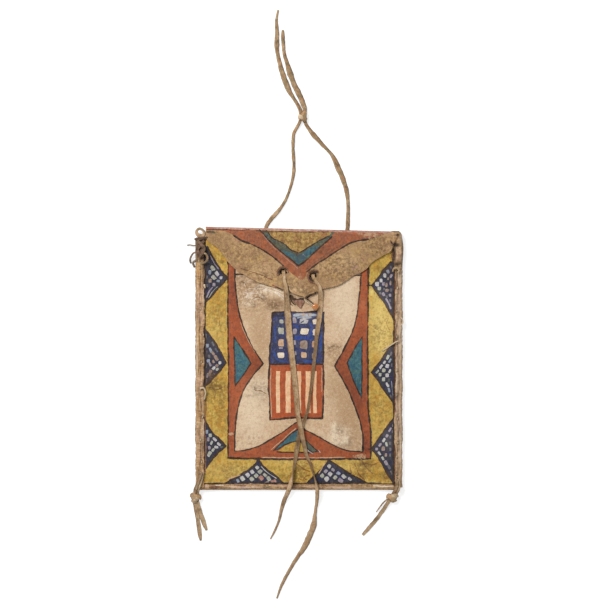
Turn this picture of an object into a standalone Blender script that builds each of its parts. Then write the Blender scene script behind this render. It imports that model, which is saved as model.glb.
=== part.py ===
# Painted rawhide pouch (parfleche): one folded sheet, bound at both sides and laced shut.
# It lies on its back, front up, with its flap towards +Y. Lengths are in metres.
# The origin is on the floor under the middle of the pouch, cords left out.

import math

import bpy
import bmesh
import numpy as np
from mathutils import Vector

MM = 0.001

# Rawhide sheet
HIDE = 1.4 * MM
PANEL_WIDTH = 193.0 * MM
POUCH_LENGTH = 255.9 * MM
TOP_DROP = 4.9 * MM
TOP_NOTCH = 6.2 * MM
NOTCH_LENGTH = 5.0 * MM
POCKET_GAP = 3.4 * MM
EDGE_GAP = 0.6 * MM
BOTTOM_GAP_SHARE = 0.35
BOTTOM_TAPER = 58.0 * MM
BOTTOM_FOLD = 2.4 * MM
TOP_FOLD = 4.0 * MM
MOUTH_INSET = 7.0 * MM
CLEAR = 0.3 * MM

# Flap: its lower edge from each corner to the tip, as shares of half its width and of its depth
FLAP_DEPTH = 66.4 * MM
FLAP_GAP = 0.5 * MM
TIP_OFFSET = 6.2 * MM
TIP_LIFT = 1.2 * MM
TIP_LIFT_LENGTH = 20.0 * MM
LEFT_EDGE = (
    (1.0, 0.15), (0.976, 0.212), (0.877, 0.321), (0.778, 0.511), (0.679, 0.641), (0.63, 0.678),
    (0.546, 0.748), (0.453, 0.808), (0.313, 0.858), (0.242, 0.892), (0.156, 0.928), (0.085, 0.959),
    (0.029, 0.978), (0.004, 1.0),
)
RIGHT_EDGE = (
    (0.989, 0.089), (0.949, 0.206), (0.906, 0.3), (0.845, 0.345), (0.76, 0.421), (0.7, 0.485),
    (0.665, 0.545), (0.61, 0.599), (0.534, 0.65), (0.473, 0.707), (0.373, 0.79), (0.273, 0.84),
    (0.197, 0.864), (0.15, 0.892), (0.098, 0.938), (0.032, 0.978), (0.006, 1.0),
)

# Holes punched for the thongs
TIE_HOLE_LEFT_X = -14.9 * MM
TIE_HOLE_LEFT_INSET = 41.6 * MM
TIE_HOLE_RIGHT_X = 13.7 * MM
TIE_HOLE_RIGHT_INSET = 44.7 * MM
TIE_HOLE_WIDTH = 7.5 * MM
TIE_HOLE_HEIGHT = 6.5 * MM
HANG_HOLE_LEFT_X = -32.4 * MM
HANG_HOLE_RIGHT_X = 46.7 * MM
HANG_HOLE = 6.0 * MM
HANG_INSET = 10.5 * MM
HANG_RISE = 14.0 * MM

# Side bindings
BINDING = 0.9 * MM
COVER = 4.6 * MM
ROLL = 4.1 * MM
CROWN = 0.3 * MM
SQUARENESS = 0.8
FLOOR_GAP = 0.2 * MM
BINDING_TOP_INSET = 11.1 * MM
BINDING_BOTTOM_INSET = 2.6 * MM

# Loop of thong at the top left corner
LOOP_RADIUS = 3.6 * MM
LOOP_THICKNESS = 2.6 * MM

# Bead and its thread
BEAD_RADIUS = 3.1 * MM
BEAD_LENGTH = 5.2 * MM
BEAD_HOLE = 0.8 * MM
BEAD_END = 0.3
BEAD_RINGS = 6
BEAD_RIGHT_OF_TIP = 9.8 * MM
BEAD_BELOW_TIP = 8.9 * MM
THREAD = 0.7 * MM

# Thongs, as round cords of the same section as the flat strips
TIE_THONG = 2.7 * MM
HANG_THONG = 2.4 * MM
CORNER_THONG = 2.4 * MM
KNOT_THONG = 1.9 * MM
THIN_TAIL = 1.2 * MM
FLOOR_SKIN = 0.05 * MM
BRIDGE_SLOPE = 0.35
CORNER_SLOPE = 0.8
KNOT_FALL = 9

# A thong's way through a hole, in millimetres along the pocket and towards the lip it leaves by,
# with its share of the height between the pocket and the lip
HOLE_WAY = ((0.0, 2.5, 1.0), (0.0, 0.3, 0.85), (0.0, -0.8, 0.5), (1.1, -0.9, 0.15), (3.3, -0.6, 0.0))
POCKET_SHARES = (0.25, 0.5, 0.75)

# Routes of the thongs in plan, in millimetres, each from the pouch outwards
TIE_LEFT_ROUTE = (
    (-14.3, 76.0), (-12.5, 66.3), (-11.1, 46.9), (-9.6, 26.6), (-6.2, -4.5), (-3.3, -30.7),
    (-1.3, -53.0), (1.5, -67.5), (4.2, -80.1), (7.5, -94.4), (10.8, -101.9), (13.3, -109.6),
    (16.3, -119.3), (17.8, -128.6), (17.2, -140.3), (15.6, -151.3), (14.3, -162.6), (9.7, -174.2),
    (4.6, -184.9), (-1.5, -193.6), (-7.4, -203.3), (-13.3, -213.7), (-17.8, -223.3), (-21.4, -233.6),
)
TIE_RIGHT_ROUTE = (
    (16.3, 74.6), (20.1, 68.3), (21.0, 56.6), (19.5, 37.2), (17.8, 26.6), (14.6, -4.5), (11.3, -30.7),
    (7.7, -53.0), (2.0, -68.5), (-0.7, -80.1), (-2.8, -93.7), (-4.6, -104.4), (-6.7, -116.0),
    (-9.8, -128.1), (-14.1, -138.0), (-17.0, -147.6), (-19.0, -156.6), (-23.0, -166.9), (-27.7, -175.9),
)
HANG_ROUTES = (
    ((-31.4, 128.5), (-27.4, 134.7), (-19.3, 143.9), (-12.1, 155.6), (-6.5, 172.6), (-4.8, 184.7),
     (-5.7, 205.1), (-4.8, 218.6), (0.2, 227.9), (2.6, 234.8)),
    ((47.4, 128.5), (47.8, 136.4), (47.8, 148.4), (46.7, 160.4), (43.4, 172.6), (37.7, 186.2),
     (32.1, 197.5), (21.7, 208.9), (12.7, 219.2), (6.8, 227.6), (5.4, 234.8)),
)
HANG_TAIL_ROUTES = (
    ((2.4, 234.8), (0.9, 242.1), (-2.9, 249.2), (-8.8, 258.8), (-14.1, 271.2), (-18.5, 286.1),
     (-21.4, 301.7), (-21.2, 314.3), (-21.8, 329.2), (-20.1, 338.7)),
    ((5.6, 234.8), (5.7, 241.9), (3.9, 247.7), (0.1, 256.5), (-5.9, 269.1), (-10.3, 283.0),
     (-14.1, 295.7), (-15.5, 310.5), (-15.7, 319.1)),
)
CORNER_ROUTES = (
    ((-93.0, -110.2), (-95.4, -117.0), (-97.9, -123.8), (-99.4, -128.6), (-100.5, -135.3)),
    ((95.6, -117.0), (95.9, -123.8), (94.3, -128.4), (91.0, -134.9)),
)
CORNER_LONG_ROUTES = (
    ((-102.0, -135.3), (-101.0, -142.2), (-98.6, -154.8), (-96.9, -167.4), (-95.4, -177.4)),
    ((90.0, -134.9), (87.0, -141.4), (83.5, -147.1), (78.3, -154.4), (71.8, -161.5), (66.8, -166.4),
     (61.9, -171.9)),
)
CORNER_SHORT_ROUTES = (
    ((-98.6, -135.3), (-96.9, -142.4), (-94.3, -151.9), (-91.3, -161.3), (-89.1, -167.4)),
    ((88.0, -134.9), (82.3, -140.1), (78.7, -144.6), (75.2, -149.6)),
)
BEAD_THREAD_FROM_TIP = ((-1.5, 3.3), (2.5, -3.2))

# Knots: each one's place, width and length in plan, in millimetres
HANG_KNOT = ((4.0, 234.8), (10.4, 12.8))
CORNER_KNOTS = (((-100.5, -135.3), (11.2, 11.8)), ((90.9, -134.9), (13.2, 11.4)))
KNOT_HEIGHT = 6.6 * MM
KNOT_GAP = 0.25 * MM

# Fineness of the shapes
SHEET_COLUMNS = 20
LIFT_ROWS = 5
PANEL_ROWS = 9
FLAP_ROWS = 13
FOLD_STEPS = 8
BINDING_ARC_STEPS = 8
KNOT_POINTS = 36
HOLE_SIDES = 16
BEAD_STEPS = 18
LAY_STEP = 1.0 * MM
END_STEP = 0.3 * MM
ROUTE_TOLERANCE = 0.16 * MM
LONGEST_PIECE = 4
EDGE_CROWDING = 0.35
LOOP_SEGMENTS = 20
LOOP_SIDES = 8
MERGE = 0.01 * MM
END_POINTS = 8

# Where the raised parts of the back begin, from the edge inwards
SIDE_LIFT_BAND = 22.0 * MM
TOP_LIFT_START = 40.0 * MM
TOP_LIFT_END = 14.0 * MM

PANEL_HALF = PANEL_WIDTH / 2
BOTTOM_Y = -POUCH_LENGTH / 2
TOP_Y = POUCH_LENGTH / 2
SIDE_LIFT = FLOOR_GAP + CROWN + BINDING + CLEAR
TOP_LIFT = FLOOR_SKIN + HANG_THONG + 2 * CLEAR
FLAP_OVER_BINDING = 2 * CLEAR + BINDING + 2 * CROWN - FLAP_GAP
BINDING_TOP_Y = TOP_Y - BINDING_TOP_INSET
BINDING_BOTTOM_Y = BOTTOM_Y + BINDING_BOTTOM_INSET
BINDING_INNER_X = PANEL_HALF - COVER
BINDING_OUTER_X = PANEL_HALF + ROLL

COLOURS = {
    "rawhide": (0.60, 0.46, 0.29, 1.0),
    "tanned_hide": (0.47, 0.33, 0.20, 1.0),
    "thong": (0.36, 0.26, 0.16, 1.0),
    "orange_glass": (0.72, 0.27, 0.05, 1.0),
    "thread": (0.72, 0.63, 0.48, 1.0),
}
ROUGHNESS = {"rawhide": 0.6, "tanned_hide": 0.85, "thong": 0.85, "orange_glass": 0.2, "thread": 0.8}


def smooth(low, high, value):
    """0 at low, 1 at high, with an even start and end."""
    share = min(max((value - low) / (high - low), 0.0), 1.0)
    return share * share * (3.0 - 2.0 * share)


def smooth_curve(points, step):
    """Points about one step apart on a smooth curve through the given ones."""
    points = [np.array(point, dtype=float) for point in points]
    ends = [2 * points[0] - points[1]] + points + [2 * points[-1] - points[-2]]
    dense = []
    for before, start, end, after in zip(ends, ends[1:], ends[2:], ends[3:]):
        k0 = math.sqrt(np.linalg.norm(start - before))
        k1 = k0 + math.sqrt(np.linalg.norm(end - start))
        k2 = k1 + math.sqrt(np.linalg.norm(after - end))
        count = max(1, math.ceil(np.linalg.norm(end - start) / step))
        for index in range(count):
            k = k0 + (k1 - k0) * index / count
            a = before + (start - before) * k / k0
            b = start + (end - start) * (k - k0) / (k1 - k0)
            c = end + (after - end) * (k - k1) / (k2 - k1)
            d = a + (b - a) * k / k1
            e = b + (c - b) * (k - k0) / (k2 - k0)
            dense.append(d + (e - d) * (k - k0) / (k1 - k0))
    dense.append(points[-1])
    return dense


def thin_out(points, tolerance, longest):
    """Keeps the points that a run of straight pieces needs to stay within the tolerance."""
    kept = [points[0]]
    first = 0
    while first < len(points) - 1:
        last = first + 1
        while last + 1 < len(points):
            start = points[first]
            run = points[last + 1] - start
            length = np.linalg.norm(run)
            off = max(np.linalg.norm(np.cross(run, point - start)) for point in points[first:last + 1])
            if length > longest or off > tolerance * length:
                break
            last += 1
        kept.append(points[last])
        first = last
    return kept


def top_line(x):
    """The crest of the top fold, which drops towards the right."""
    return TOP_Y - TOP_DROP * (x + PANEL_HALF) / PANEL_WIDTH


def top_tangent(x):
    return top_line(x) - TOP_FOLD


def back_face(x, y):
    """Underside of the pouch: flat, but raised at the bindings and over the hanging thong."""
    side = SIDE_LIFT * smooth(PANEL_HALF - SIDE_LIFT_BAND, BINDING_INNER_X, abs(x))
    top = TOP_LIFT * smooth(top_line(x) - TOP_LIFT_START, top_line(x) - TOP_LIFT_END, y)
    return math.hypot(side, top)


def pocket_gap(x, y):
    """Space between the panels: least at the bound edges and at the bottom fold."""
    across = max(0.0, 1.0 - abs(x / PANEL_HALF) ** 3)
    along = BOTTOM_GAP_SHARE + (1.0 - BOTTOM_GAP_SHARE) * smooth(BOTTOM_Y, BOTTOM_Y + BOTTOM_TAPER, y)
    return EDGE_GAP + (POCKET_GAP - EDGE_GAP) * across * along


def front_face(x, y):
    return back_face(x, y) + 2 * HIDE + pocket_gap(x, y)


def flap_face(x, y):
    """Top of the flap: a little off the panel, over the right binding's end and lifted at its tip."""
    tip_y = tip()[1]
    corner = FLAP_OVER_BINDING * smooth(BINDING_INNER_X - 2 * COVER, BINDING_INNER_X, x)
    lift = TIP_LIFT * smooth(tip_y + TIP_LIFT_LENGTH, tip_y, y)
    return front_face(x, y) + FLAP_GAP + HIDE + corner + lift


def tip():
    """The flap's tip in plan."""
    return TIP_OFFSET, top_line(TIP_OFFSET) - FLAP_DEPTH


def tie_holes():
    """The places of the two holes through the flap and the front panel."""
    holes = ((TIE_HOLE_LEFT_X, TIE_HOLE_LEFT_INSET), (TIE_HOLE_RIGHT_X, TIE_HOLE_RIGHT_INSET))
    return [(x, top_line(x) - inset) for x, inset in holes]


def hanging_holes():
    """The places of the two holes through the back panel."""
    return [(x, top_line(x) - HANG_INSET) for x in (HANG_HOLE_LEFT_X, HANG_HOLE_RIGHT_X)]


def left_edge(y):
    notch = smooth(BINDING_TOP_Y + HIDE - NOTCH_LENGTH, BINDING_TOP_Y + HIDE, y)
    return -PANEL_HALF + TOP_NOTCH * notch


def flap_edge(side, shape):
    """One half of the flap's lower edge in plan, from its corner to its tip."""
    half = PANEL_HALF - TOP_NOTCH if side < 0 else PANEL_HALF
    points = []
    for across, depth in shape:
        x = TIP_OFFSET + (side * half - TIP_OFFSET) * across
        points.append((x, top_line(x) - FLAP_DEPTH * depth))
    return smooth_curve(points, LAY_STEP)


FLAP_LEFT = flap_edge(-1, LEFT_EDGE)
FLAP_RIGHT = flap_edge(1, RIGHT_EDGE)
FLAP_OUTLINE = sorted((point[0], point[1]) for point in FLAP_LEFT + FLAP_RIGHT)


def flap_bottom(x):
    """How far down the flap reaches at x."""
    return float(np.interp(x, [point[0] for point in FLAP_OUTLINE], [point[1] for point in FLAP_OUTLINE]))


def on_flap(x, y):
    return FLAP_OUTLINE[0][0] < x < FLAP_OUTLINE[-1][0] and flap_bottom(x) < y < top_line(x)


def binding_section(side, y):
    """A binding's outer face in section: front lip, rolled edge, back lip."""
    inner = side * BINDING_INNER_X
    high = front_face(inner, y) + CLEAR + BINDING
    low = back_face(inner, y) - CLEAR - BINDING
    centre_x = PANEL_HALF - COVER / 3
    centre_z = (high + low) / 2
    half_width = BINDING_OUTER_X - centre_x
    half_height = (high - low) / 2 + CROWN
    section = [(inner, high)]
    for index in range(BINDING_ARC_STEPS + 1):
        angle = math.pi / 2 - math.pi * index / BINDING_ARC_STEPS
        x = centre_x + half_width * abs(math.cos(angle)) ** SQUARENESS
        z = centre_z + half_height * math.copysign(abs(math.sin(angle)) ** SQUARENESS, angle)
        section.append((side * x, z))
    section.append((inner, low))
    return section


def resting_height(x, y):
    """Height of what a thong at this place lies on."""
    if on_flap(x, y):
        return flap_face(x, y)
    if abs(x) > BINDING_INNER_X and abs(x) < BINDING_OUTER_X and BINDING_BOTTOM_Y < y < BINDING_TOP_Y:
        return front_face(math.copysign(BINDING_INNER_X, x), y) + CLEAR + BINDING + CROWN
    if abs(x) < PANEL_HALF and BOTTOM_Y < y < top_line(x):
        return front_face(x, max(y, BOTTOM_Y + BOTTOM_FOLD))
    return 0.0


def lay(route, diameter, slope, over=()):
    """The centre line of a thong laid along a route: it bridges steps, and humps over another thong."""
    plan = smooth_curve(route, LAY_STEP)
    apart = diameter + CLEAR
    need = []
    for x, y in plan:
        surface = resting_height(x, y)
        height = surface + diameter / 2 + (CLEAR if surface > 0 else FLOOR_SKIN)
        for other in over:
            beside = math.hypot(other[0] - x, other[1] - y)
            if beside < apart:
                height = max(height, other[2] + math.sqrt(apart * apart - beside * beside))
        need.append(height)
    bridged = []
    for index in range(len(plan)):
        falls = []
        for other in range(len(plan)):
            beyond = max(0.0, abs(other - index) * LAY_STEP - diameter)
            falls.append(need[other] - slope * beyond)
        bridged.append(max(falls))
    line = []
    for index, (x, y) in enumerate(plan):
        near = bridged[max(0, index - 2):index + 3]
        line.append(np.array((x, y, sum(near) / len(near))))
    return line


def in_metres(route):
    return [(x * MM, y * MM) for x, y in route]


def through_hole(hole, toward, lip_height, inside_height, lip_side):
    """A thong's bend from the face it lies on down, or up, through a hole and into the pocket."""
    x, y = hole
    way = []
    for along, across, share in HOLE_WAY:
        z = inside_height + (lip_height - inside_height) * share
        way.append(np.array((x + toward * along * MM, y + lip_side * across * MM, z)))
    return way


def pocket_height(x, y):
    return back_face(x, y) + HIDE + pocket_gap(x, y) / 2


def pocket_run(holes, lip_side):
    """The stretch inside the pocket, from near one hole to near the other."""
    line = []
    for share in POCKET_SHARES:
        x = holes[0][0] + (holes[1][0] - holes[0][0]) * share
        y = holes[0][1] + (holes[1][1] - holes[0][1]) * share + lip_side * HOLE_WAY[-1][1] * MM
        line.append(np.array((x, y, pocket_height(x, y))))
    return line


def tie_thong_line():
    """Free end, right hole, pocket, left hole, free end. The left run passes over the right one."""
    left, right = tie_holes()
    lips = []
    for hole in (left, right):
        lips.append(flap_face(*hole) + TIE_THONG / 2 + CLEAR)
    start = [(x, y - HOLE_WAY[0][1] * MM) for x, y in (left, right)]
    right_run = lay([start[1]] + in_metres(TIE_RIGHT_ROUTE), TIE_THONG, BRIDGE_SLOPE)
    left_run = lay([start[0]] + in_metres(TIE_LEFT_ROUTE), TIE_THONG, BRIDGE_SLOPE, over=right_run)
    into_right = through_hole(right, -1, lips[1], pocket_height(*right), -1)
    into_left = through_hole(left, 1, lips[0], pocket_height(*left), -1)
    bight = pocket_run((left, right), -1)[::-1]
    inner = smooth_curve(right_run[3:0:-1] + into_right + bight + into_left[::-1] + left_run[1:4], LAY_STEP)
    return right_run[:3:-1] + inner + left_run[4:]


def hanging_thong_line():
    """Knot, left strand, left back hole, pocket, right back hole, right strand, knot."""
    floor = HANG_THONG / 2 + FLOOR_SKIN
    holes = hanging_holes()
    lines = []
    for hole, route, toward in zip(holes, HANG_ROUTES, (1, -1)):
        strand = smooth_curve([(x, y, floor) for x, y in in_metres(route)], LAY_STEP)
        for point in strand:
            point[2] += (KNOT_HEIGHT / 2 - floor) * smooth(strand[-1][1] - HANG_RISE, strand[-1][1], point[1])
        strand = clear_of_knot(strand[::-1], HANG_THONG, HANG_KNOT)
        approach = np.array((hole[0], hole[1] + HANG_HOLE, floor))
        lines.append(strand + [approach] + through_hole(hole, toward, floor, pocket_height(*hole), 1))
    line = smooth_curve(lines[0] + pocket_run(holes, 1) + lines[1][::-1], LAY_STEP)
    for point in line:
        point[2] = max(point[2], floor)
    return line


def knot_line(knot):
    """A closed overhand knot lying on the floor, with one of its three lobes towards +Y."""
    (x, y), (width, length) = in_metres(knot)
    across = (width - KNOT_THONG) / 6
    along = (length - KNOT_THONG) / 6
    rise = (KNOT_HEIGHT - KNOT_THONG) / 2
    line = []
    for index in range(KNOT_POINTS):
        t = 2 * math.pi * index / KNOT_POINTS
        line.append(np.array((
            x + across * (math.sin(t) + 2 * math.sin(2 * t)),
            y - along * (math.cos(t) - 2 * math.cos(2 * t)),
            KNOT_HEIGHT / 2 + FLOOR_SKIN + rise * math.sin(3 * t))))
    return line


def end_gap(end, run, diameter, knotted):
    """Space between a knot's strand and the flat round end of a cord that runs this way."""
    run = run / np.linalg.norm(run)
    side = np.cross(run, (0.0, 0.0, 1.0))
    side /= np.linalg.norm(side)
    rise = np.cross(side, run)
    disc = [end]
    for turn in range(END_POINTS):
        angle = 2 * math.pi * turn / END_POINTS
        disc.append(end + (side * math.cos(angle) + rise * math.sin(angle)) * diameter / 2)
    return min(np.linalg.norm(knotted - point, axis=1).min() for point in disc) - KNOT_THONG / 2


def clear_of_knot(line, diameter, knot):
    """Cuts a line that starts inside a knot back to where its end just clears the knot."""
    knotted = np.array(smooth_curve(knot_line(knot), END_STEP))
    for index in range(len(line) - 2, -1, -1):
        run = line[index + 1] - line[index]
        for part in range(END_POINTS):
            end = line[index + 1] - run * part / END_POINTS
            if end_gap(end, run, diameter, knotted) < KNOT_GAP:
                return [end] + line[index + 2:]
    return line


def from_knot(route, diameter, knot):
    """A tail that leaves a knot at half its height and comes down to the floor."""
    line = lay(in_metres(route), diameter, BRIDGE_SLOPE)
    for point in line:
        share = 1.0 - smooth(0.0, KNOT_FALL * diameter, np.linalg.norm(point[:2] - line[0][:2]))
        point[2] += share * (KNOT_HEIGHT / 2 - diameter / 2)
    return clear_of_knot(line, diameter, knot)


def make_material(name):
    material = bpy.data.materials.new(name)
    material.use_nodes = True
    shader = material.node_tree.nodes["Principled BSDF"]
    shader.inputs["Base Color"].default_value = COLOURS[name]
    shader.inputs["Roughness"].default_value = ROUGHNESS[name]
    material.diffuse_color = COLOURS[name]
    return material


def add_object(name, data, collection, material=None):
    item = bpy.data.objects.new(name, data)
    if material is not None:
        data.materials.append(material)
    collection.objects.link(item)
    return item


def add_tube(name, line, diameter, collection, material, closed=False):
    curve = bpy.data.curves.new(name, "CURVE")
    curve.dimensions = "3D"
    curve.bevel_depth = diameter / 2
    curve.bevel_resolution = 2
    curve.use_fill_caps = True
    spline = curve.splines.new("POLY")
    spline.points.add(len(line) - 1)
    for point, place in zip(spline.points, line):
        point.co = (place[0], place[1], place[2], 1.0)
    spline.use_cyclic_u = closed
    return add_object(name, curve, collection, material)


def add_thong(name, line, diameter, collection, material):
    points = thin_out(line, ROUTE_TOLERANCE, LONGEST_PIECE * diameter)
    return add_tube(name, points, diameter, collection, material)


def add_grid(name, rows, flipped, thickness, collection, material):
    """A sheet through rows of points, thickened inwards."""
    mesh = bpy.data.meshes.new(name)
    grid = bmesh.new()
    verts = [[grid.verts.new(point) for point in row] for row in rows]
    for upper, lower in zip(verts, verts[1:]):
        for index in range(len(upper) - 1):
            corners = [upper[index], lower[index], lower[index + 1], upper[index + 1]]
            grid.faces.new(corners[::-1] if flipped else corners)
    grid.to_mesh(mesh)
    grid.free()
    sheet = add_object(name, mesh, collection, material)
    shell = sheet.modifiers.new("thickness", "SOLIDIFY")
    shell.thickness = thickness
    shell.offset = -1.0
    shell.use_even_offset = True
    return sheet


def column_shares():
    """Even in the middle of the sheet and closer towards its side edges."""
    shares = []
    for index in range(SHEET_COLUMNS + 1):
        t = 2.0 * index / SHEET_COLUMNS - 1.0
        shares.append(0.5 + 0.5 * t * (1.0 + EDGE_CROWDING - EDGE_CROWDING * t * t))
    return shares


def stations(x):
    """Where the sheet's rows cross x, from the pocket's mouth down to the bottom fold."""
    top = top_line(x)
    bottom = BOTTOM_Y + BOTTOM_FOLD
    rows = [top - MOUTH_INSET, top - BINDING_TOP_INSET + HIDE]
    for index in range(LIFT_ROWS + 1):
        rows.append(top - TOP_LIFT_END - (TOP_LIFT_START - TOP_LIFT_END) * index / LIFT_ROWS)
    start = rows[-1]
    for index in range(1, PANEL_ROWS + 1):
        rows.append(start + (bottom - start) * math.sin(math.pi / 2 * index / PANEL_ROWS))
    return rows


def panel_row(y_of_x, z_of_xy):
    row = []
    low = left_edge(y_of_x(-PANEL_HALF))
    for share in column_shares():
        x = low + (PANEL_HALF - low) * share
        y = y_of_x(x)
        row.append(Vector((x, y, z_of_xy(x, y))))
    return row


def fold_rows(tangent, radius, direction, low_face, high_face, angles):
    """Half round the fold between two faces, bulging along direction in Y."""
    rows = []
    for angle in angles:
        row = []
        for point in panel_row(tangent, low_face):
            low = low_face(point.x, point.y)
            high = high_face(point.x, point.y)
            y = point.y + direction * radius * math.cos(angle)
            z = (high + low) / 2 + (high - low) / 2 * math.sin(angle)
            row.append(Vector((point.x, y, z)))
        rows.append(row)
    return rows


def point_along(line, share):
    """The point at a share of the way along a line of evenly spaced points."""
    place = share * (len(line) - 1)
    index = min(int(place), len(line) - 2)
    return line[index] + (line[index + 1] - line[index]) * (place - index)


def flap_rows():
    """Rows that run between the flap's two edges, from its corners down to its tip."""
    rows = []
    for index in range(FLAP_ROWS + 1):
        share = index / FLAP_ROWS
        left = point_along(FLAP_LEFT, share)
        right = point_along(FLAP_RIGHT, share)
        row = []
        for across in column_shares():
            x, y = left + (right - left) * across
            row.append(Vector((x, y, flap_face(x, y))))
        rows.append(row)
    return rows


def envelope_rows():
    """The whole sheet from the front panel's top edge, round the bottom and over the top to the flap."""
    count = len(stations(0.0))
    rows = [panel_row(lambda x: stations(x)[index], front_face) for index in range(count)]
    turn = [math.pi * index / FOLD_STEPS - math.pi / 2 for index in range(1, FOLD_STEPS)]
    rows += fold_rows(lambda x: BOTTOM_Y + BOTTOM_FOLD, BOTTOM_FOLD, -1, back_face, front_face, turn[::-1])
    rows += [panel_row(lambda x: stations(x)[index], back_face) for index in range(count - 1, -1, -1)]
    rows.append(panel_row(top_tangent, back_face))
    rows += fold_rows(top_tangent, TOP_FOLD, 1, back_face, flap_face, turn)
    rows.append(panel_row(top_tangent, flap_face))
    return rows + flap_rows()


def add_hole_cutter(name, place, size, low, high, collection):
    """An oval punch standing on a place, from low to high."""
    bpy.ops.mesh.primitive_cylinder_add(vertices=HOLE_SIDES, radius=0.5, depth=1.0)
    cutter = bpy.context.active_object
    cutter.name = name
    cutter.location = (place[0], place[1], (low + high) / 2)
    cutter.scale = (size[0], size[1], high - low)
    for linked in list(cutter.users_collection):
        linked.objects.unlink(cutter)
    collection.objects.link(cutter)
    cutter.hide_render = True
    cutter.display_type = "WIRE"
    return cutter


def punch(target, cutter):
    cut = target.modifiers.new(cutter.name, "BOOLEAN")
    cut.operation = "DIFFERENCE"
    cut.solver = "EXACT"
    cut.object = cutter


def add_envelope(parts, cutters, material):
    sheet = add_grid("rawhide_envelope", envelope_rows(), False, HIDE, parts, material)
    for side, hole in zip(("left", "right"), tie_holes()):
        low = pocket_height(*hole)
        high = flap_face(*hole) + HIDE
        size = (TIE_HOLE_WIDTH, TIE_HOLE_HEIGHT)
        punch(sheet, add_hole_cutter("tie_hole_" + side, hole, size, low, high, cutters))
    for side, hole in zip(("left", "right"), hanging_holes()):
        low = -HIDE
        high = pocket_height(*hole)
        size = (HANG_HOLE, HANG_HOLE)
        punch(sheet, add_hole_cutter("hang_hole_" + side, hole, size, low, high, cutters))
    return sheet


def add_binding(name, side, collection, material):
    places = [BINDING_TOP_Y]
    for y in stations(side * BINDING_INNER_X):
        if BINDING_BOTTOM_Y + HIDE < y < BINDING_TOP_Y - HIDE:
            places.append(y)
    places.append(BINDING_BOTTOM_Y)
    rows = []
    for y in places:
        rows.append([Vector((x, y, z)) for x, z in binding_section(side, y)])
    return add_grid(name, rows, side < 0, BINDING, collection, material)


def add_corner_loop(collection, material):
    outer = LOOP_RADIUS + LOOP_THICKNESS / 2
    x = -(PANEL_HALF - TOP_NOTCH) - CLEAR - outer
    y = BINDING_TOP_Y + CLEAR + outer
    z = (back_face(-PANEL_HALF, BINDING_TOP_Y) + flap_face(-PANEL_HALF, BINDING_TOP_Y)) / 2
    bpy.ops.mesh.primitive_torus_add(
        location=(x, y, z), major_radius=LOOP_RADIUS, minor_radius=LOOP_THICKNESS / 2,
        major_segments=LOOP_SEGMENTS, minor_segments=LOOP_SIDES)
    loop = bpy.context.active_object
    loop.name = "corner_loop"
    for linked in list(loop.users_collection):
        linked.objects.unlink(loop)
    collection.objects.link(loop)
    loop.data.materials.append(material)


def add_bead(collection, material):
    """A barrel bead turned about the line that its thread takes."""
    mouth = BEAD_LENGTH / 2 - BEAD_END * BEAD_HOLE
    profile = [(BEAD_HOLE, mouth)]
    for index in range(BEAD_RINGS + 1):
        angle = math.pi / 2 - math.pi * index / BEAD_RINGS
        swell = BEAD_END + (1.0 - BEAD_END) * math.cos(angle)
        profile.append((BEAD_HOLE + (BEAD_RADIUS - BEAD_HOLE) * swell, BEAD_LENGTH / 2 * math.sin(angle)))
    profile.append((BEAD_HOLE, -mouth))
    mesh = bpy.data.meshes.new("bead")
    count = len(profile)
    edges = [(index, (index + 1) % count) for index in range(count)]
    mesh.from_pydata([(r, 0.0, z) for r, z in profile], edges, [])
    bead = add_object("bead", mesh, collection, material)
    turned = bead.modifiers.new("turned", "SCREW")
    turned.steps = BEAD_STEPS
    turned.render_steps = BEAD_STEPS
    turned.use_merge_vertices = True
    turned.merge_threshold = MERGE
    bead.location = bead_centre()
    bead.rotation_euler = bead_axis().to_track_quat("Z", "Y").to_euler()


def bead_centre():
    x, y = tip()
    x += BEAD_RIGHT_OF_TIP
    y -= BEAD_BELOW_TIP
    return Vector((x, y, front_face(x, y) + CLEAR + BEAD_RADIUS))


def thread_start():
    """Where the bead's thread lies on the panel, in plan."""
    x, y = tip()
    return [(x + across, y + along) for across, along in in_metres(BEAD_THREAD_FROM_TIP)]


def bead_axis():
    knee = thread_start()[-1]
    centre = bead_centre()
    return Vector((centre.x - knee[0], centre.y - knee[1], 0.0)).normalized()


def add_bead_thread(collection, material):
    """From under the flap's tip, along the panel and up into the bead's hole."""
    line = []
    for x, y in thread_start():
        line.append(np.array((x, y, front_face(x, y) + CLEAR + THREAD / 2)))
    centre = np.array(bead_centre())
    axis = np.array(bead_axis())
    line += [centre - axis * (BEAD_LENGTH / 2 + THREAD), centre - axis * (BEAD_LENGTH / 2 - THREAD), centre]
    add_thong("bead_thread", smooth_curve(line, LAY_STEP / 2), THREAD, collection, material)


def add_knot(name, knot, collection, material):
    add_tube(name, knot_line(knot), KNOT_THONG, collection, material, closed=True)


def add_hanging_thong(collection, material):
    add_thong("hanging_thong", hanging_thong_line(), HANG_THONG, collection, material)
    add_knot("hanging_knot", HANG_KNOT, collection, material)
    for side, route in zip(("left", "right"), HANG_TAIL_ROUTES):
        tail = from_knot(route, HANG_THONG, HANG_KNOT)
        add_thong("hanging_tail_" + side, tail, HANG_THONG, collection, material)


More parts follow.
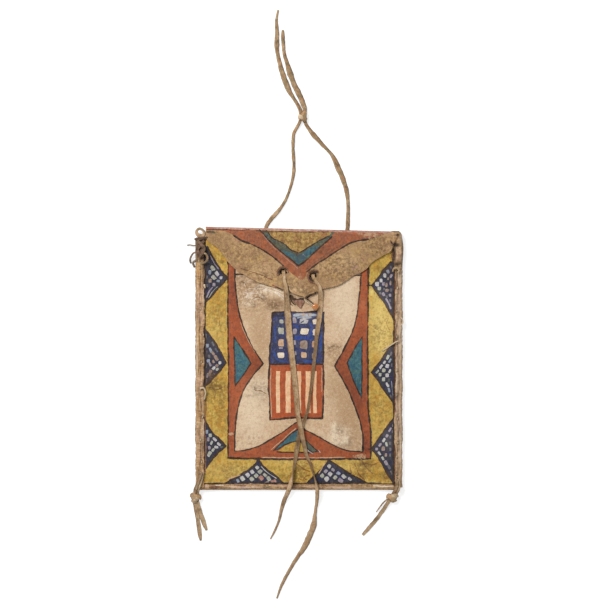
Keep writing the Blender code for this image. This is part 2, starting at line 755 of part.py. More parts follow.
def add_corner_thongs(collection, material):
    """At each lower corner: the strip over the binding's end, its knot and its two tails."""
    for side, knot, strip, long_tail, short_tail, thin in zip(
            ("left", "right"), CORNER_KNOTS, CORNER_ROUTES, CORNER_LONG_ROUTES, CORNER_SHORT_ROUTES,
            (CORNER_THONG, THIN_TAIL)):
        line = lay(in_metres(strip), CORNER_THONG, CORNER_SLOPE)
        end = KNOT_HEIGHT / 2 + FLOOR_SKIN
        for point in line:
            point[2] = max(point[2], end)
        cut = clear_of_knot(line[::-1], CORNER_THONG, knot)
        add_thong("corner_thong_" + side, cut, CORNER_THONG, collection, material)
        add_knot("corner_knot_" + side, knot, collection, material)
        tail = from_knot(long_tail, CORNER_THONG, knot)
        add_thong("corner_tail_long_" + side, tail, CORNER_THONG, collection, material)
        tail = from_knot(short_tail, thin, knot)
        add_thong("corner_tail_short_" + side, tail, thin, collection, material)


def main():
    for item in list(bpy.data.objects):
        bpy.data.objects.remove(item)
    parts = bpy.data.collections.new("parfleche")
    cutters = bpy.data.collections.new("cutters")
    bpy.context.scene.collection.children.link(parts)
    bpy.context.scene.collection.children.link(cutters)
    materials = {name: make_material(name) for name in COLOURS}
    add_envelope(parts, cutters, materials["rawhide"])
    add_binding("side_binding_left", -1, parts, materials["tanned_hide"])
    add_binding("side_binding_right", 1, parts, materials["tanned_hide"])
    add_corner_loop(parts, materials["thong"])
    add_thong("tie_thong", tie_thong_line(), TIE_THONG, parts, materials["thong"])
    add_hanging_thong(parts, materials["thong"])
    add_corner_thongs(parts, materials["thong"])
    add_bead(parts, materials["orange_glass"])
    add_bead_thread(parts, materials["thread"])


main()
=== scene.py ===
# Painted rawhide pouch: the dressed part, its light and its camera.
# Places on the pouch are written in pixels of a 600 by 600 view from above, and turned into metres.

import math
import random

import bpy
import numpy as np
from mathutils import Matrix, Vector, geometry, kdtree, noise


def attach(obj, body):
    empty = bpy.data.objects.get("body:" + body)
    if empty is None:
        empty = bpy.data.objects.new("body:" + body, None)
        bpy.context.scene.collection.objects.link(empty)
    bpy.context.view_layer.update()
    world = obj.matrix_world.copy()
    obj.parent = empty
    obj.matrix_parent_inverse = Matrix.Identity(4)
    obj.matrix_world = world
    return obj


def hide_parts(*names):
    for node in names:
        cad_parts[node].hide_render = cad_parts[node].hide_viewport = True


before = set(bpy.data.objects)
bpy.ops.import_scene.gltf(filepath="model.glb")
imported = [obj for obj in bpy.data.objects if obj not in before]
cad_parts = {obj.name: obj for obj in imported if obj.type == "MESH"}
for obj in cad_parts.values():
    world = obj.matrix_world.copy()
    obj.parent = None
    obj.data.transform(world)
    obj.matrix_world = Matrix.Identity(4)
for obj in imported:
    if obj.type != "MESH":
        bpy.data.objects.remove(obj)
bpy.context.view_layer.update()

MM = 0.001
UP = np.array((0.0, 0.0, 1.0))

# The view from above
PIXEL = 0.97 * MM
PIXEL_X = 298.9
PIXEL_Y = 358.4
VIEW_CENTRE = (1.07 * MM, 56.6 * MM)
VIEW_WIDTH = 582.0 * MM
CAMERA_HEIGHT = 2.2
CAMERA_AIM_HEIGHT = 6.0 * MM
SENSOR = 36.0
LIGHT_AIM = (0.0, 0.03, 0.0)

# The pouch's sizes, as in the CAD
HIDE = 1.4 * MM
PANEL_WIDTH = 193.0 * MM
POUCH_LENGTH = 255.9 * MM
TOP_DROP = 4.9 * MM
TOP_NOTCH = 6.2 * MM
NOTCH_LENGTH = 5.0 * MM
POCKET_GAP = 3.4 * MM
EDGE_GAP = 0.6 * MM
BOTTOM_GAP_SHARE = 0.35
BOTTOM_TAPER = 58.0 * MM
BOTTOM_FOLD = 2.4 * MM
TOP_FOLD = 4.0 * MM
MOUTH_INSET = 7.0 * MM
CLEAR = 0.3 * MM
FLAP_DEPTH = 66.4 * MM
FLAP_GAP = 0.5 * MM
TIP_OFFSET = 6.2 * MM
TIP_LIFT = 1.2 * MM
TIP_LIFT_LENGTH = 20.0 * MM
LEFT_EDGE = (
    (1, 0.15), (0.976, 0.212), (0.877, 0.321), (0.778, 0.511), (0.679, 0.641), (0.63, 0.678), (0.546, 0.748),
    (0.453, 0.808), (0.313, 0.858), (0.242, 0.892), (0.156, 0.928), (0.085, 0.959), (0.029, 0.978),
    (0.004, 1),
)
RIGHT_EDGE = (
    (0.989, 0.089), (0.949, 0.206), (0.906, 0.3), (0.845, 0.345), (0.76, 0.421), (0.7, 0.485), (0.665, 0.545),
    (0.61, 0.599), (0.534, 0.65), (0.473, 0.707), (0.373, 0.79), (0.273, 0.84), (0.197, 0.864), (0.15, 0.892),
    (0.098, 0.938), (0.032, 0.978), (0.006, 1),
)
TIE_HOLES = ((-14.9 * MM, 41.6 * MM), (13.7 * MM, 44.7 * MM))
TIE_HOLE_WIDTH = 7.5 * MM
TIE_HOLE_HEIGHT = 6.5 * MM
HANG_HOLES = (-32.4 * MM, 46.7 * MM)
HANG_HOLE = 6.0 * MM
HANG_INSET = 10.5 * MM
HANG_RISE = 14.0 * MM
BINDING = 0.9 * MM
COVER = 4.6 * MM
ROLL = 4.1 * MM
CROWN = 0.3 * MM
SQUARENESS = 0.8
FLOOR_GAP = 0.2 * MM
BINDING_TOP_INSET = 11.1 * MM
BINDING_BOTTOM_INSET = 2.6 * MM
HANG_THONG = 2.4 * MM
FLOOR_SKIN = 0.05 * MM
KNOT_HEIGHT = 6.6 * MM
SIDE_LIFT_BAND = 22.0 * MM
TOP_LIFT_START = 40.0 * MM
TOP_LIFT_END = 14.0 * MM
STEP = 1.0 * MM

PANEL_HALF = PANEL_WIDTH / 2
BOTTOM_Y = -POUCH_LENGTH / 2
TOP_Y = POUCH_LENGTH / 2
SIDE_LIFT = FLOOR_GAP + CROWN + BINDING + CLEAR
TOP_LIFT = FLOOR_SKIN + HANG_THONG + 2 * CLEAR
FLAP_OVER_BINDING = 2 * CLEAR + BINDING + 2 * CROWN - FLAP_GAP
BINDING_TOP_Y = TOP_Y - BINDING_TOP_INSET
BINDING_BOTTOM_Y = BOTTOM_Y + BINDING_BOTTOM_INSET
BINDING_INNER_X = PANEL_HALF - COVER
BINDING_OUTER_X = PANEL_HALF + ROLL
FOLD_Y = BOTTOM_Y + BOTTOM_FOLD

# Lengths of the two folds along the sheet
BOTTOM_ARC = 7.6 * MM
TOP_ARC = 12.4 * MM

# Routes of the thongs in plan, in millimetres, as in the CAD, the corner tails within 1.3 mm of it
TIE_ROUTES = (
    ((-14.3, 76), (-12.5, 66.3), (-11.1, 46.9), (-9.6, 26.6), (-6.2, -4.5), (-3.3, -30.7), (-1.3, -53),
     (1.5, -67.5), (4.2, -80.1), (7.5, -94.4), (10.8, -101.9), (13.3, -109.6), (16.3, -119.3), (17.8, -128.6),
     (17.2, -140.3), (15.6, -151.3), (14.3, -162.6), (9.7, -174.2), (4.6, -184.9), (-1.5, -193.6),
     (-7.4, -203.3), (-13.3, -213.7), (-17.8, -223.3), (-21.4, -233.6)),
    ((16.3, 74.6), (20.1, 68.3), (21, 56.6), (19.5, 37.2), (17.8, 26.6), (14.6, -4.5), (11.3, -30.7),
     (7.7, -53), (2, -68.5), (-0.7, -80.1), (-2.8, -93.7), (-4.6, -104.4), (-6.7, -116), (-9.8, -128.1),
     (-14.1, -138), (-17, -147.6), (-19, -156.6), (-23, -166.9), (-27.7, -175.9)),
)
HANG_ROUTES = (
    ((-31.4, 128.5), (-27.4, 134.7), (-19.3, 143.9), (-12.1, 155.6), (-6.5, 172.6), (-4.8, 184.7),
     (-5.7, 205.1), (-4.8, 218.6), (0.2, 227.9), (2.6, 234.8)),
    ((47.4, 128.5), (47.8, 136.4), (47.8, 148.4), (46.7, 160.4), (43.4, 172.6), (37.7, 186.2), (32.1, 197.5),
     (21.7, 208.9), (12.7, 219.2), (6.8, 227.6), (5.4, 234.8)),
)
HANG_TAIL_ROUTES = (
    ((2.4, 234.8), (0.9, 242.1), (-2.9, 249.2), (-8.8, 258.8), (-14.1, 271.2), (-18.5, 286.1), (-21.4, 301.7),
     (-21.2, 314.3), (-21.8, 329.2), (-20.1, 338.7)),
    ((5.6, 234.8), (5.7, 241.9), (3.9, 247.7), (0.1, 256.5), (-5.9, 269.1), (-10.3, 283), (-14.1, 295.7),
     (-15.5, 310.5), (-15.7, 319.1)),
)
CORNER_ROUTES = (
    ((-93, -110.2), (-95.4, -117), (-97.9, -123.8), (-99.4, -128.6), (-100.5, -135.3)),
    ((95.6, -117), (95.9, -123.8), (94.3, -128.4), (91, -134.9)),
)
CORNER_LONG_ROUTES = (
    ((-102, -135.3), (-101, -142.2), (-98.6, -154.8), (-96.9, -167.4), (-95.4, -177.4)),
    ((90, -134.9), (85.9, -141.4), (82.2, -147.1), (77, -154.4), (71.2, -161.5), (66.8, -166.4),
     (61.9, -171.9)),
)
CORNER_SHORT_ROUTES = (
    ((-99.4, -135.3), (-97.8, -142.4), (-95.2, -151.9), (-92, -161.3), (-89.6, -167.4)),
    ((88, -134.9), (82.3, -140.1), (78.7, -144.6), (75.2, -149.6)),
)
# Knots: place, then width and length in millimetres; the left corner's is drawn larger than in the CAD
HANG_KNOT = ((4.0, 234.8), (10.4, 12.8))
CORNER_KNOTS = (((-100.5, -135.3), (12.6, 12.2)), ((90.9, -134.9), (13.2, 11.4)))


# ---------------------------------------------------------------- shapes of the pouch, as in the CAD

def smooth(low, high, value):
    """0 at low, 1 at high, with an even start and end."""
    share = min(max((value - low) / (high - low), 0.0), 1.0)
    return share * share * (3.0 - 2.0 * share)


def smooth_curve(points, step):
    """Points about one step apart on a smooth curve through the given ones."""
    points = [np.array(point, dtype=float) for point in points]
    ends = [2 * points[0] - points[1]] + points + [2 * points[-1] - points[-2]]
    dense = []
    for before, start, end, after in zip(ends, ends[1:], ends[2:], ends[3:]):
        k0 = math.sqrt(np.linalg.norm(start - before))
        k1 = k0 + math.sqrt(np.linalg.norm(end - start))
        k2 = k1 + math.sqrt(np.linalg.norm(after - end))
        count = max(1, math.ceil(np.linalg.norm(end - start) / step))
        for index in range(count):
            k = k0 + (k1 - k0) * index / count
            a = before + (start - before) * k / k0
            b = start + (end - start) * (k - k0) / (k1 - k0)
            c = end + (after - end) * (k - k1) / (k2 - k1)
            d = a + (b - a) * k / k1
            e = b + (c - b) * (k - k0) / (k2 - k0)
            dense.append(d + (e - d) * (k - k0) / (k1 - k0))
    dense.append(points[-1])
    return dense


def wave(*place):
    """Smooth noise, about -0.5 to 0.5, at a place given by three numbers."""
    return noise.noise(Vector(place))


def ripple(x, y, size, seed):
    """Smooth noise with waves of the given size."""
    return wave(x / size, y / size, seed)


def power(value, exponent):
    """A power of the value's size, with the value's sign."""
    return math.copysign(abs(value) ** exponent, value)


def unit(vectors):
    """Vectors brought to length one."""
    return vectors / np.linalg.norm(vectors, axis=-1, keepdims=True)


def circle(count):
    """Evenly spaced angles round a circle."""
    return [2 * math.pi * index / count for index in range(count)]


def relief(x, y):
    """The hide's slight waves, alike on the panel and on the flap over it."""
    return (0.42 * ripple(x, y, 45 * MM, 3.1) + 0.2 * ripple(x, y, 14 * MM, 7.7)) * MM


def top_line(x):
    """The crest of the top fold, which drops towards the right."""
    return TOP_Y - TOP_DROP * (x + PANEL_HALF) / PANEL_WIDTH


def top_tangent(x):
    return top_line(x) - TOP_FOLD


def back_face(x, y):
    side = SIDE_LIFT * smooth(PANEL_HALF - SIDE_LIFT_BAND, BINDING_INNER_X, abs(x))
    top = TOP_LIFT * smooth(top_line(x) - TOP_LIFT_START, top_line(x) - TOP_LIFT_END, y)
    return math.hypot(side, top)


def pocket_gap(x, y):
    across = max(0.0, 1.0 - abs(x / PANEL_HALF) ** 3)
    along = BOTTOM_GAP_SHARE + (1.0 - BOTTOM_GAP_SHARE) * smooth(BOTTOM_Y, BOTTOM_Y + BOTTOM_TAPER, y)
    return EDGE_GAP + (POCKET_GAP - EDGE_GAP) * across * along


def front_face(x, y):
    return back_face(x, y) + 2 * HIDE + pocket_gap(x, y) + relief(x, y)


def flap_face(x, y):
    corner = FLAP_OVER_BINDING * smooth(BINDING_INNER_X - 2 * COVER, BINDING_INNER_X, x)
    lift = TIP_LIFT * smooth(TIP[1] + TIP_LIFT_LENGTH, TIP[1], y)
    return front_face(x, y) + FLAP_GAP + HIDE + corner + lift


def left_edge(y):
    return -PANEL_HALF + TOP_NOTCH * smooth(BINDING_TOP_Y + HIDE - NOTCH_LENGTH, BINDING_TOP_Y + HIDE, y)


def flap_edge(side, shape):
    """One half of the flap's lower edge in plan, from its corner to its tip."""
    half = PANEL_HALF - TOP_NOTCH if side < 0 else PANEL_HALF
    points = []
    for across, depth in shape:
        x = TIP_OFFSET + (side * half - TIP_OFFSET) * across
        points.append((x, top_line(x) - FLAP_DEPTH * depth))
    return smooth_curve(points, STEP)


TIP = (TIP_OFFSET, top_line(TIP_OFFSET) - FLAP_DEPTH)
FLAP_LEFT = flap_edge(-1, LEFT_EDGE)
FLAP_RIGHT = flap_edge(1, RIGHT_EDGE)
FLAP_OUTLINE = np.array(sorted((point[0], point[1]) for point in FLAP_LEFT + FLAP_RIGHT))


def on_flap(x, y):
    if not FLAP_OUTLINE[0, 0] < x < FLAP_OUTLINE[-1, 0]:
        return False
    return np.interp(x, FLAP_OUTLINE[:, 0], FLAP_OUTLINE[:, 1]) < y < top_line(x)


def pocket_height(x, y):
    return back_face(x, y) + HIDE + pocket_gap(x, y) / 2


def resting_height(x, y):
    """Height of what a thong at this place lies on."""
    if on_flap(x, y):
        return flap_face(x, y)
    if BINDING_INNER_X < abs(x) < BINDING_OUTER_X and BINDING_BOTTOM_Y < y < BINDING_TOP_Y:
        return front_face(math.copysign(BINDING_INNER_X, x), y) + CLEAR + BINDING + CROWN
    if abs(x) < PANEL_HALF and BOTTOM_Y < y < top_line(x):
        return front_face(x, max(y, FOLD_Y))
    return 0.0


# ---------------------------------------------------------------- materials

def linear(colour):
    """A colour written as 0 to 255 on a screen, as the linear one that a shader takes."""
    values = []
    for part in colour:
        part /= 255.0
        values.append(part / 12.92 if part <= 0.04045 else ((part + 0.055) / 1.055) ** 2.4)
    return (values[0], values[1], values[2], 1.0)


class Nodes:
    """A node tree under construction."""

    def __init__(self, tree):
        self.tree = tree

    def node(self, kind, settings=None, **values):
        made = self.tree.nodes.new(kind)
        for key, value in (settings or {}).items():
            setattr(made, key, value)
        for key, value in values.items():
            self.feed(made.inputs[key.replace("_", " ")], value)
        return made

    def feed(self, socket, value):
        if isinstance(value, bpy.types.NodeSocket):
            self.tree.links.new(value, socket)
        else:
            socket.default_value = value

    def math(self, operation, first, second=0.0):
        made = self.node("ShaderNodeMath", {"operation": operation})
        self.feed(made.inputs[0], first)
        self.feed(made.inputs[1], second)
        return made.outputs[0]


class Finish(Nodes):
    """A material under construction."""

    def __init__(self, name, roughness=0.7, specular=0.2):
        self.material = bpy.data.materials.new(name)
        self.material.use_nodes = True
        super().__init__(self.material.node_tree)
        self.shader = self.tree.nodes["Principled BSDF"]
        self.shader.inputs["Roughness"].default_value = roughness
        self.shader.inputs["Specular IOR Level"].default_value = specular
        self.place = self.node("ShaderNodeTexCoord").outputs["Object"]

    def value(self, name):
        return self.node("ShaderNodeAttribute", {"attribute_name": name}).outputs["Fac"]

    def noise(self, size, detail=3.0, rough=0.6, distort=0.0, place=None):
        made = self.node("ShaderNodeTexNoise", Scale=1.0 / size, Detail=detail, Roughness=rough,
                         Distortion=distort, Vector=place or self.place)
        return made.outputs["Fac"]

    def stretched(self, across, along):
        """The place, measured in two different units across and along the pouch."""
        made = self.node("ShaderNodeMapping", Vector=self.place,
                         Scale=(1.0 / across, 1.0 / along, 1.0 / across))
        return made.outputs["Vector"]

    def joined(self, *parts):
        """A vector of values, each times its scale."""
        scaled = {axis: self.math("MULTIPLY", value, scale) for axis, (value, scale) in zip("XYZ", parts)}
        return self.node("ShaderNodeCombineXYZ", **scaled).outputs["Vector"]

    def total(self, *parts):
        """The sum of values, each times its share."""
        found = None
        for value, share in parts:
            part = value if share == 1.0 else self.math("MULTIPLY", value, share)
            found = part if found is None else self.math("ADD", found, part)
        return found

    def ramp(self, value, low, high):
        """0 below low, 1 above high."""
        made = self.node("ShaderNodeMapRange", {"interpolation_type": "SMOOTHSTEP"},
                         Value=value, From_Min=low, From_Max=high)
        return made.outputs["Result"]

    def mix(self, share, first, second):
        made = self.node("ShaderNodeMix", {"data_type": "RGBA", "blend_type": "MIX"})
        self.feed(made.inputs[0], share)
        for socket, value in ((made.inputs[6], first), (made.inputs[7], second)):
            self.feed(socket, linear(value) if isinstance(value, tuple) else value)
        return made.outputs[2]

    def layers(self, colour, *rows):
        """Colours over one another, each with its share, its value and the ends of that value's ramp."""
        for other, share, value, *ends in rows:
            if ends:
                value = self.ramp(value, *ends)
            if share != 1.0:
                value = self.math("MULTIPLY", value, share)
            colour = self.mix(value, colour, other)
        return colour

    def stained(self, blotches):
        return self.math("MULTIPLY", self.value("stain"), self.ramp(blotches, 0.3, 0.56))

    def finish(self, colour, height, depth, strength=1.0):
        self.feed(self.shader.inputs["Base Color"], colour)
        bump = self.node("ShaderNodeBump", Height=height, Distance=depth, Strength=strength)
        self.tree.links.new(bump.outputs["Normal"], self.shader.inputs["Normal"])
        return self.material


STAIN = (88, 62, 38)
BARE = (190, 158, 124)
GOLD = (180, 132, 74)
BLUSH = (194, 154, 130)
# A pale colour for rubbed wear and painted highlights, and a dark one for soil and painted shade, on the
# bindings and the tongue
RUBBED_AND_HIGHLIGHT = (216, 196, 172)
SOIL_AND_SHADE = (54, 39, 31)


def make_paint(name, main, other, dark, light, tint, glow, patch, mottle, worn):
    """Paint rubbed into rawhide: patches of tone, dirty blotches, flecks, worn spots and stains."""
    made = Finish(name, 0.72)
    patches = made.noise(patch * MM, 4.0, 0.65, 0.5)
    hues = made.noise(5.2 * MM, 4.0, 0.65, 0.3)
    blotches = made.noise(2.8 * MM, 6.0, 0.75, 0.15)
    specks = made.noise(0.9 * MM, 2.0, 0.6)
    brush = made.noise(1.0, 2.0, 0.5, 0.8, made.stretched(1.6 * MM, 6.0 * MM))
    soiled = made.total((blotches, 1.0), (made.value("dirt"), 0.12))
    rubbed = made.total((made.value("wear"), 0.42), (blotches, 1.0))
    colour = made.layers(
        main,
        (other, 1.0, patches, 0.42, 0.58),
        (tint, 0.65, hues, 0.5, 0.64),
        (glow, 0.65, hues, 0.48, 0.36),
        (light, 1.0, made.value("pale")),
        (dark, 0.6, made.value("tan")),
        (dark, mottle, soiled, 0.5, 0.66),
        (light, 0.6 * mottle, blotches, 0.46, 0.32),
        (dark, 0.15, brush, 0.56, 0.8),
        (light, 0.3, brush, 0.46, 0.28),
        (dark, 0.5 * mottle, specks, 0.52, 0.72),
        (light, 0.45 * mottle, specks, 0.46, 0.28),
        (BARE, 0.8, rubbed, 0.72 - worn, 0.84 - worn),
        (STAIN, 1.0, made.stained(blotches)),
    )
    return made.finish(colour, made.total((blotches, 0.7), (specks, 0.3)), 0.4 * MM, 0.6)


# ---------------------------------------------------------------- paint on the sheet, in pixels

# A field is its colour and its sides. A side is the width of its dark line and its points; it starts
# where the side before it ends, and is a smooth curve if it has more than one point.
FRONT_FIELDS = (
    ("yellow", (0, (200, 200)), (0, (397, 200)), (0, (397, 483.9)), (1.2, (350, 483.3), (300, 483.9),
     (250, 483.4), (200, 483.8))),
    ("red", (1.3, (228, 300), (228.3, 380), (228, 458.3)), (1.7, (300, 459.4), (370.6, 458.8)), (1.5,
     (370.8, 449), (370.7, 429), (368.9, 416), (367.9, 395), (367.9, 330), (368.4, 245)), (0, (228, 245))),
    ("cream", (1.2, (234.9, 274.1), (235.9, 292.6), (240.4, 317), (245, 331), (253.5, 349), (263, 363.7)),
     (1.2, (255, 373), (243.5, 391), (238.2, 408), (235.1, 429.5), (234.9, 451.1)), (1.1, (243, 450.6),
     (254.5, 447.9), (266.5, 442.5), (281.4, 433), (295.2, 423.4), (299.5, 421)), (1.1, (303.8, 428.6),
     (311.8, 433.5), (322.2, 438.7), (334.2, 445.6), (345, 450.2), (362.9, 452.1)), (1.2, (362.9, 435),
     (360.7, 423.6), (355.7, 409.3), (348, 389.7), (334.8, 366)), (1.2, (343, 351.6), (353, 330),
     (356.4, 318), (359.6, 290), (360.7, 275.1), (361, 255)), (0, (234.9, 255))),
    ("teal", (1, (233.9, 336.9)), (1.1, (243, 350.5), (250.8, 363)), (1.1, (244, 373.5), (235, 386))),
    ("teal", (1, (362.2, 336.9)), (1.1, (354, 350), (347.1, 363.5)), (1.1, (353.3, 380), (361.8, 398.5))),
    ("teal", (1, (273.5, 451)), (1, (282.6, 442.1), (289.4, 435.3), (299.5, 428.5)), (0, (300, 440)), (0.9,
     (287.1, 443.9), (277.4, 449.8))),
    ("slate", (0, (299.5, 428.5)), (1, (303.8, 438), (310, 444), (318.2, 451.4)), (0.8, (312.4, 452.4)), (0.8,
     (304.9, 446.4), (300, 441))),
    ("yellow", (0, (287.6, 444.6), (300, 440.6)), (0, (300, 452.2)), (1.1, (277, 452.2))),
    ("yellow", (0, (305, 447.2), (312.2, 452.4)), (1.1, (300, 452.6)), (0, (300, 441.5))),
    ("blue", (1.3, (269.8, 347.4), (270.9, 338.5), (272, 327.3), (272.3, 312.8)), (1.2, (285, 311.8),
     (298, 312.3), (318, 311.6)), (0, (323.9, 312.4)), (1.3, (323.6, 334), (323.2, 364.8)), (1.2,
     (296, 364.3), (269.1, 364.8))),
    ("brick", (1.3, (269.4, 400), (268.5, 386.8), (269.1, 364.8)), (0, (323.2, 364.8)), (1.3, (323.6, 386.8),
     (322.5, 418.4)), (1.4, (293.3, 417.9), (270, 420.1))),
    ("navy", (0, (200, 244)), (0, (207.4, 246.4)), (1.5, (209.6, 251), (213.8, 258.6), (223.6, 273.8),
     (227.6, 278.4)), (1.4, (220.4, 286.2), (211.7, 295.5), (204.8, 302.6), (200, 306))),
    ("navy", (0, (200, 322)), (0, (204.8, 329)), (1.3, (212, 338), (220.5, 352), (225.7, 363)), (1.3,
     (218, 373.4), (204.8, 386.8), (200, 392))),
    ("navy", (0, (200, 410)), (0, (204.4, 418)), (1.4, (208.4, 426.6), (213.4, 433.8), (219, 438.6),
     (225.9, 446.2)), (1.4, (216, 455), (204.8, 469.6), (200, 474))),
    ("navy", (0, (399, 260)), (0, (391, 262)), (1.5, (384, 269.4), (379, 276.6), (372, 285.8)), (1.3,
     (379, 295.3), (384.8, 303.9), (392.6, 316.8), (399, 327))),
    ("navy", (0, (399, 337)), (0, (394.4, 342.2)), (1.4, (386.4, 351.2), (380, 361.4), (371, 372.4)), (1.3,
     (375.4, 376.8), (381.8, 387.4), (391.4, 400.4), (399, 411))),
    ("navy", (0, (399, 410)), (0, (394, 417.2)), (1.4, (386.4, 428), (379, 438.6), (371.6, 449.4)), (1.4,
     (377, 455.6), (385, 469.4), (394, 484.4), (399, 492))),
    ("navy", (1.3, (240, 474.9), (248, 470), (254, 465.3), (257.8, 458.8)), (1.3, (261, 463.4),
     (266.4, 469.3), (274, 474.5), (283.6, 483.6)), (0, (224.4, 483.6))),
    ("navy", (1.3, (317.1, 473.6), (323.5, 466.5), (328.6, 460)), (1.3, (338.6, 466.6), (349.4, 473.4),
     (361.6, 480.2), (368.6, 483.6)), (0, (306.6, 483.6))),
)
FLAP_FIELDS = (
    ("flap_red", (0, (207, 224)), (0, (384, 228.4)), (0, (383, 234.5)), (0.6, (376, 237.2), (369, 239)), (1.2,
     (362, 240.2), (350.8, 242.9), (345, 246.1), (336.5, 251.3), (328.5, 257), (315.9, 264.5),
     (306.7, 271.9)), (0, (305.8, 275.5), (303.5, 278.9), (300.9, 280.2)), (0, (296, 276.7), (288.5, 270.5),
     (284, 266.7)), (1.4, (274.5, 258.2), (264.8, 251.3), (255, 246.1), (248.6, 243.2), (241.5, 240.4),
     (233.4, 235.4)), (0, (224.7, 231.6), (216, 230.6), (207, 230.4))),
    ("slate", (0, (259.5, 230)), (1.2, (268.2, 239.8), (278.5, 249.6), (290.6, 259.3), (298.2, 266.2)), (1.2,
     (304.9, 261.6), (310.1, 256.4), (319.3, 247.8), (326.2, 242.1), (331.9, 236.9)), (0, (337, 228)), (0,
     (258, 226.4))),
    ("teal", (0, (282, 249.6)), (0, (286, 254.2), (292, 258.6), (298.2, 264.6)), (0, (305, 259.2), (312, 253),
     (320, 245.6)), (0, (311, 247.6), (304.4, 252)), (0, (298, 255.6))),
    ("mustard", (0, (266, 230)), (0.9, (272.2, 237.4), (283.7, 243.6), (290.6, 249.6), (298.1, 253)), (0.9,
     (304.4, 250), (309.5, 246.7), (318.1, 241.5), (323.3, 239.2), (329.6, 235.8)), (0, (334, 228.4)), (0,
     (265, 226.6))),
    ("crest", (0, (206, 223.8)), (0, (403, 228.8)), (0, (403, 233.2)), (0, (380, 233), (350, 232.4),
     (310, 231.8), (270, 230.8), (235, 229.6), (206, 228.2))),
)

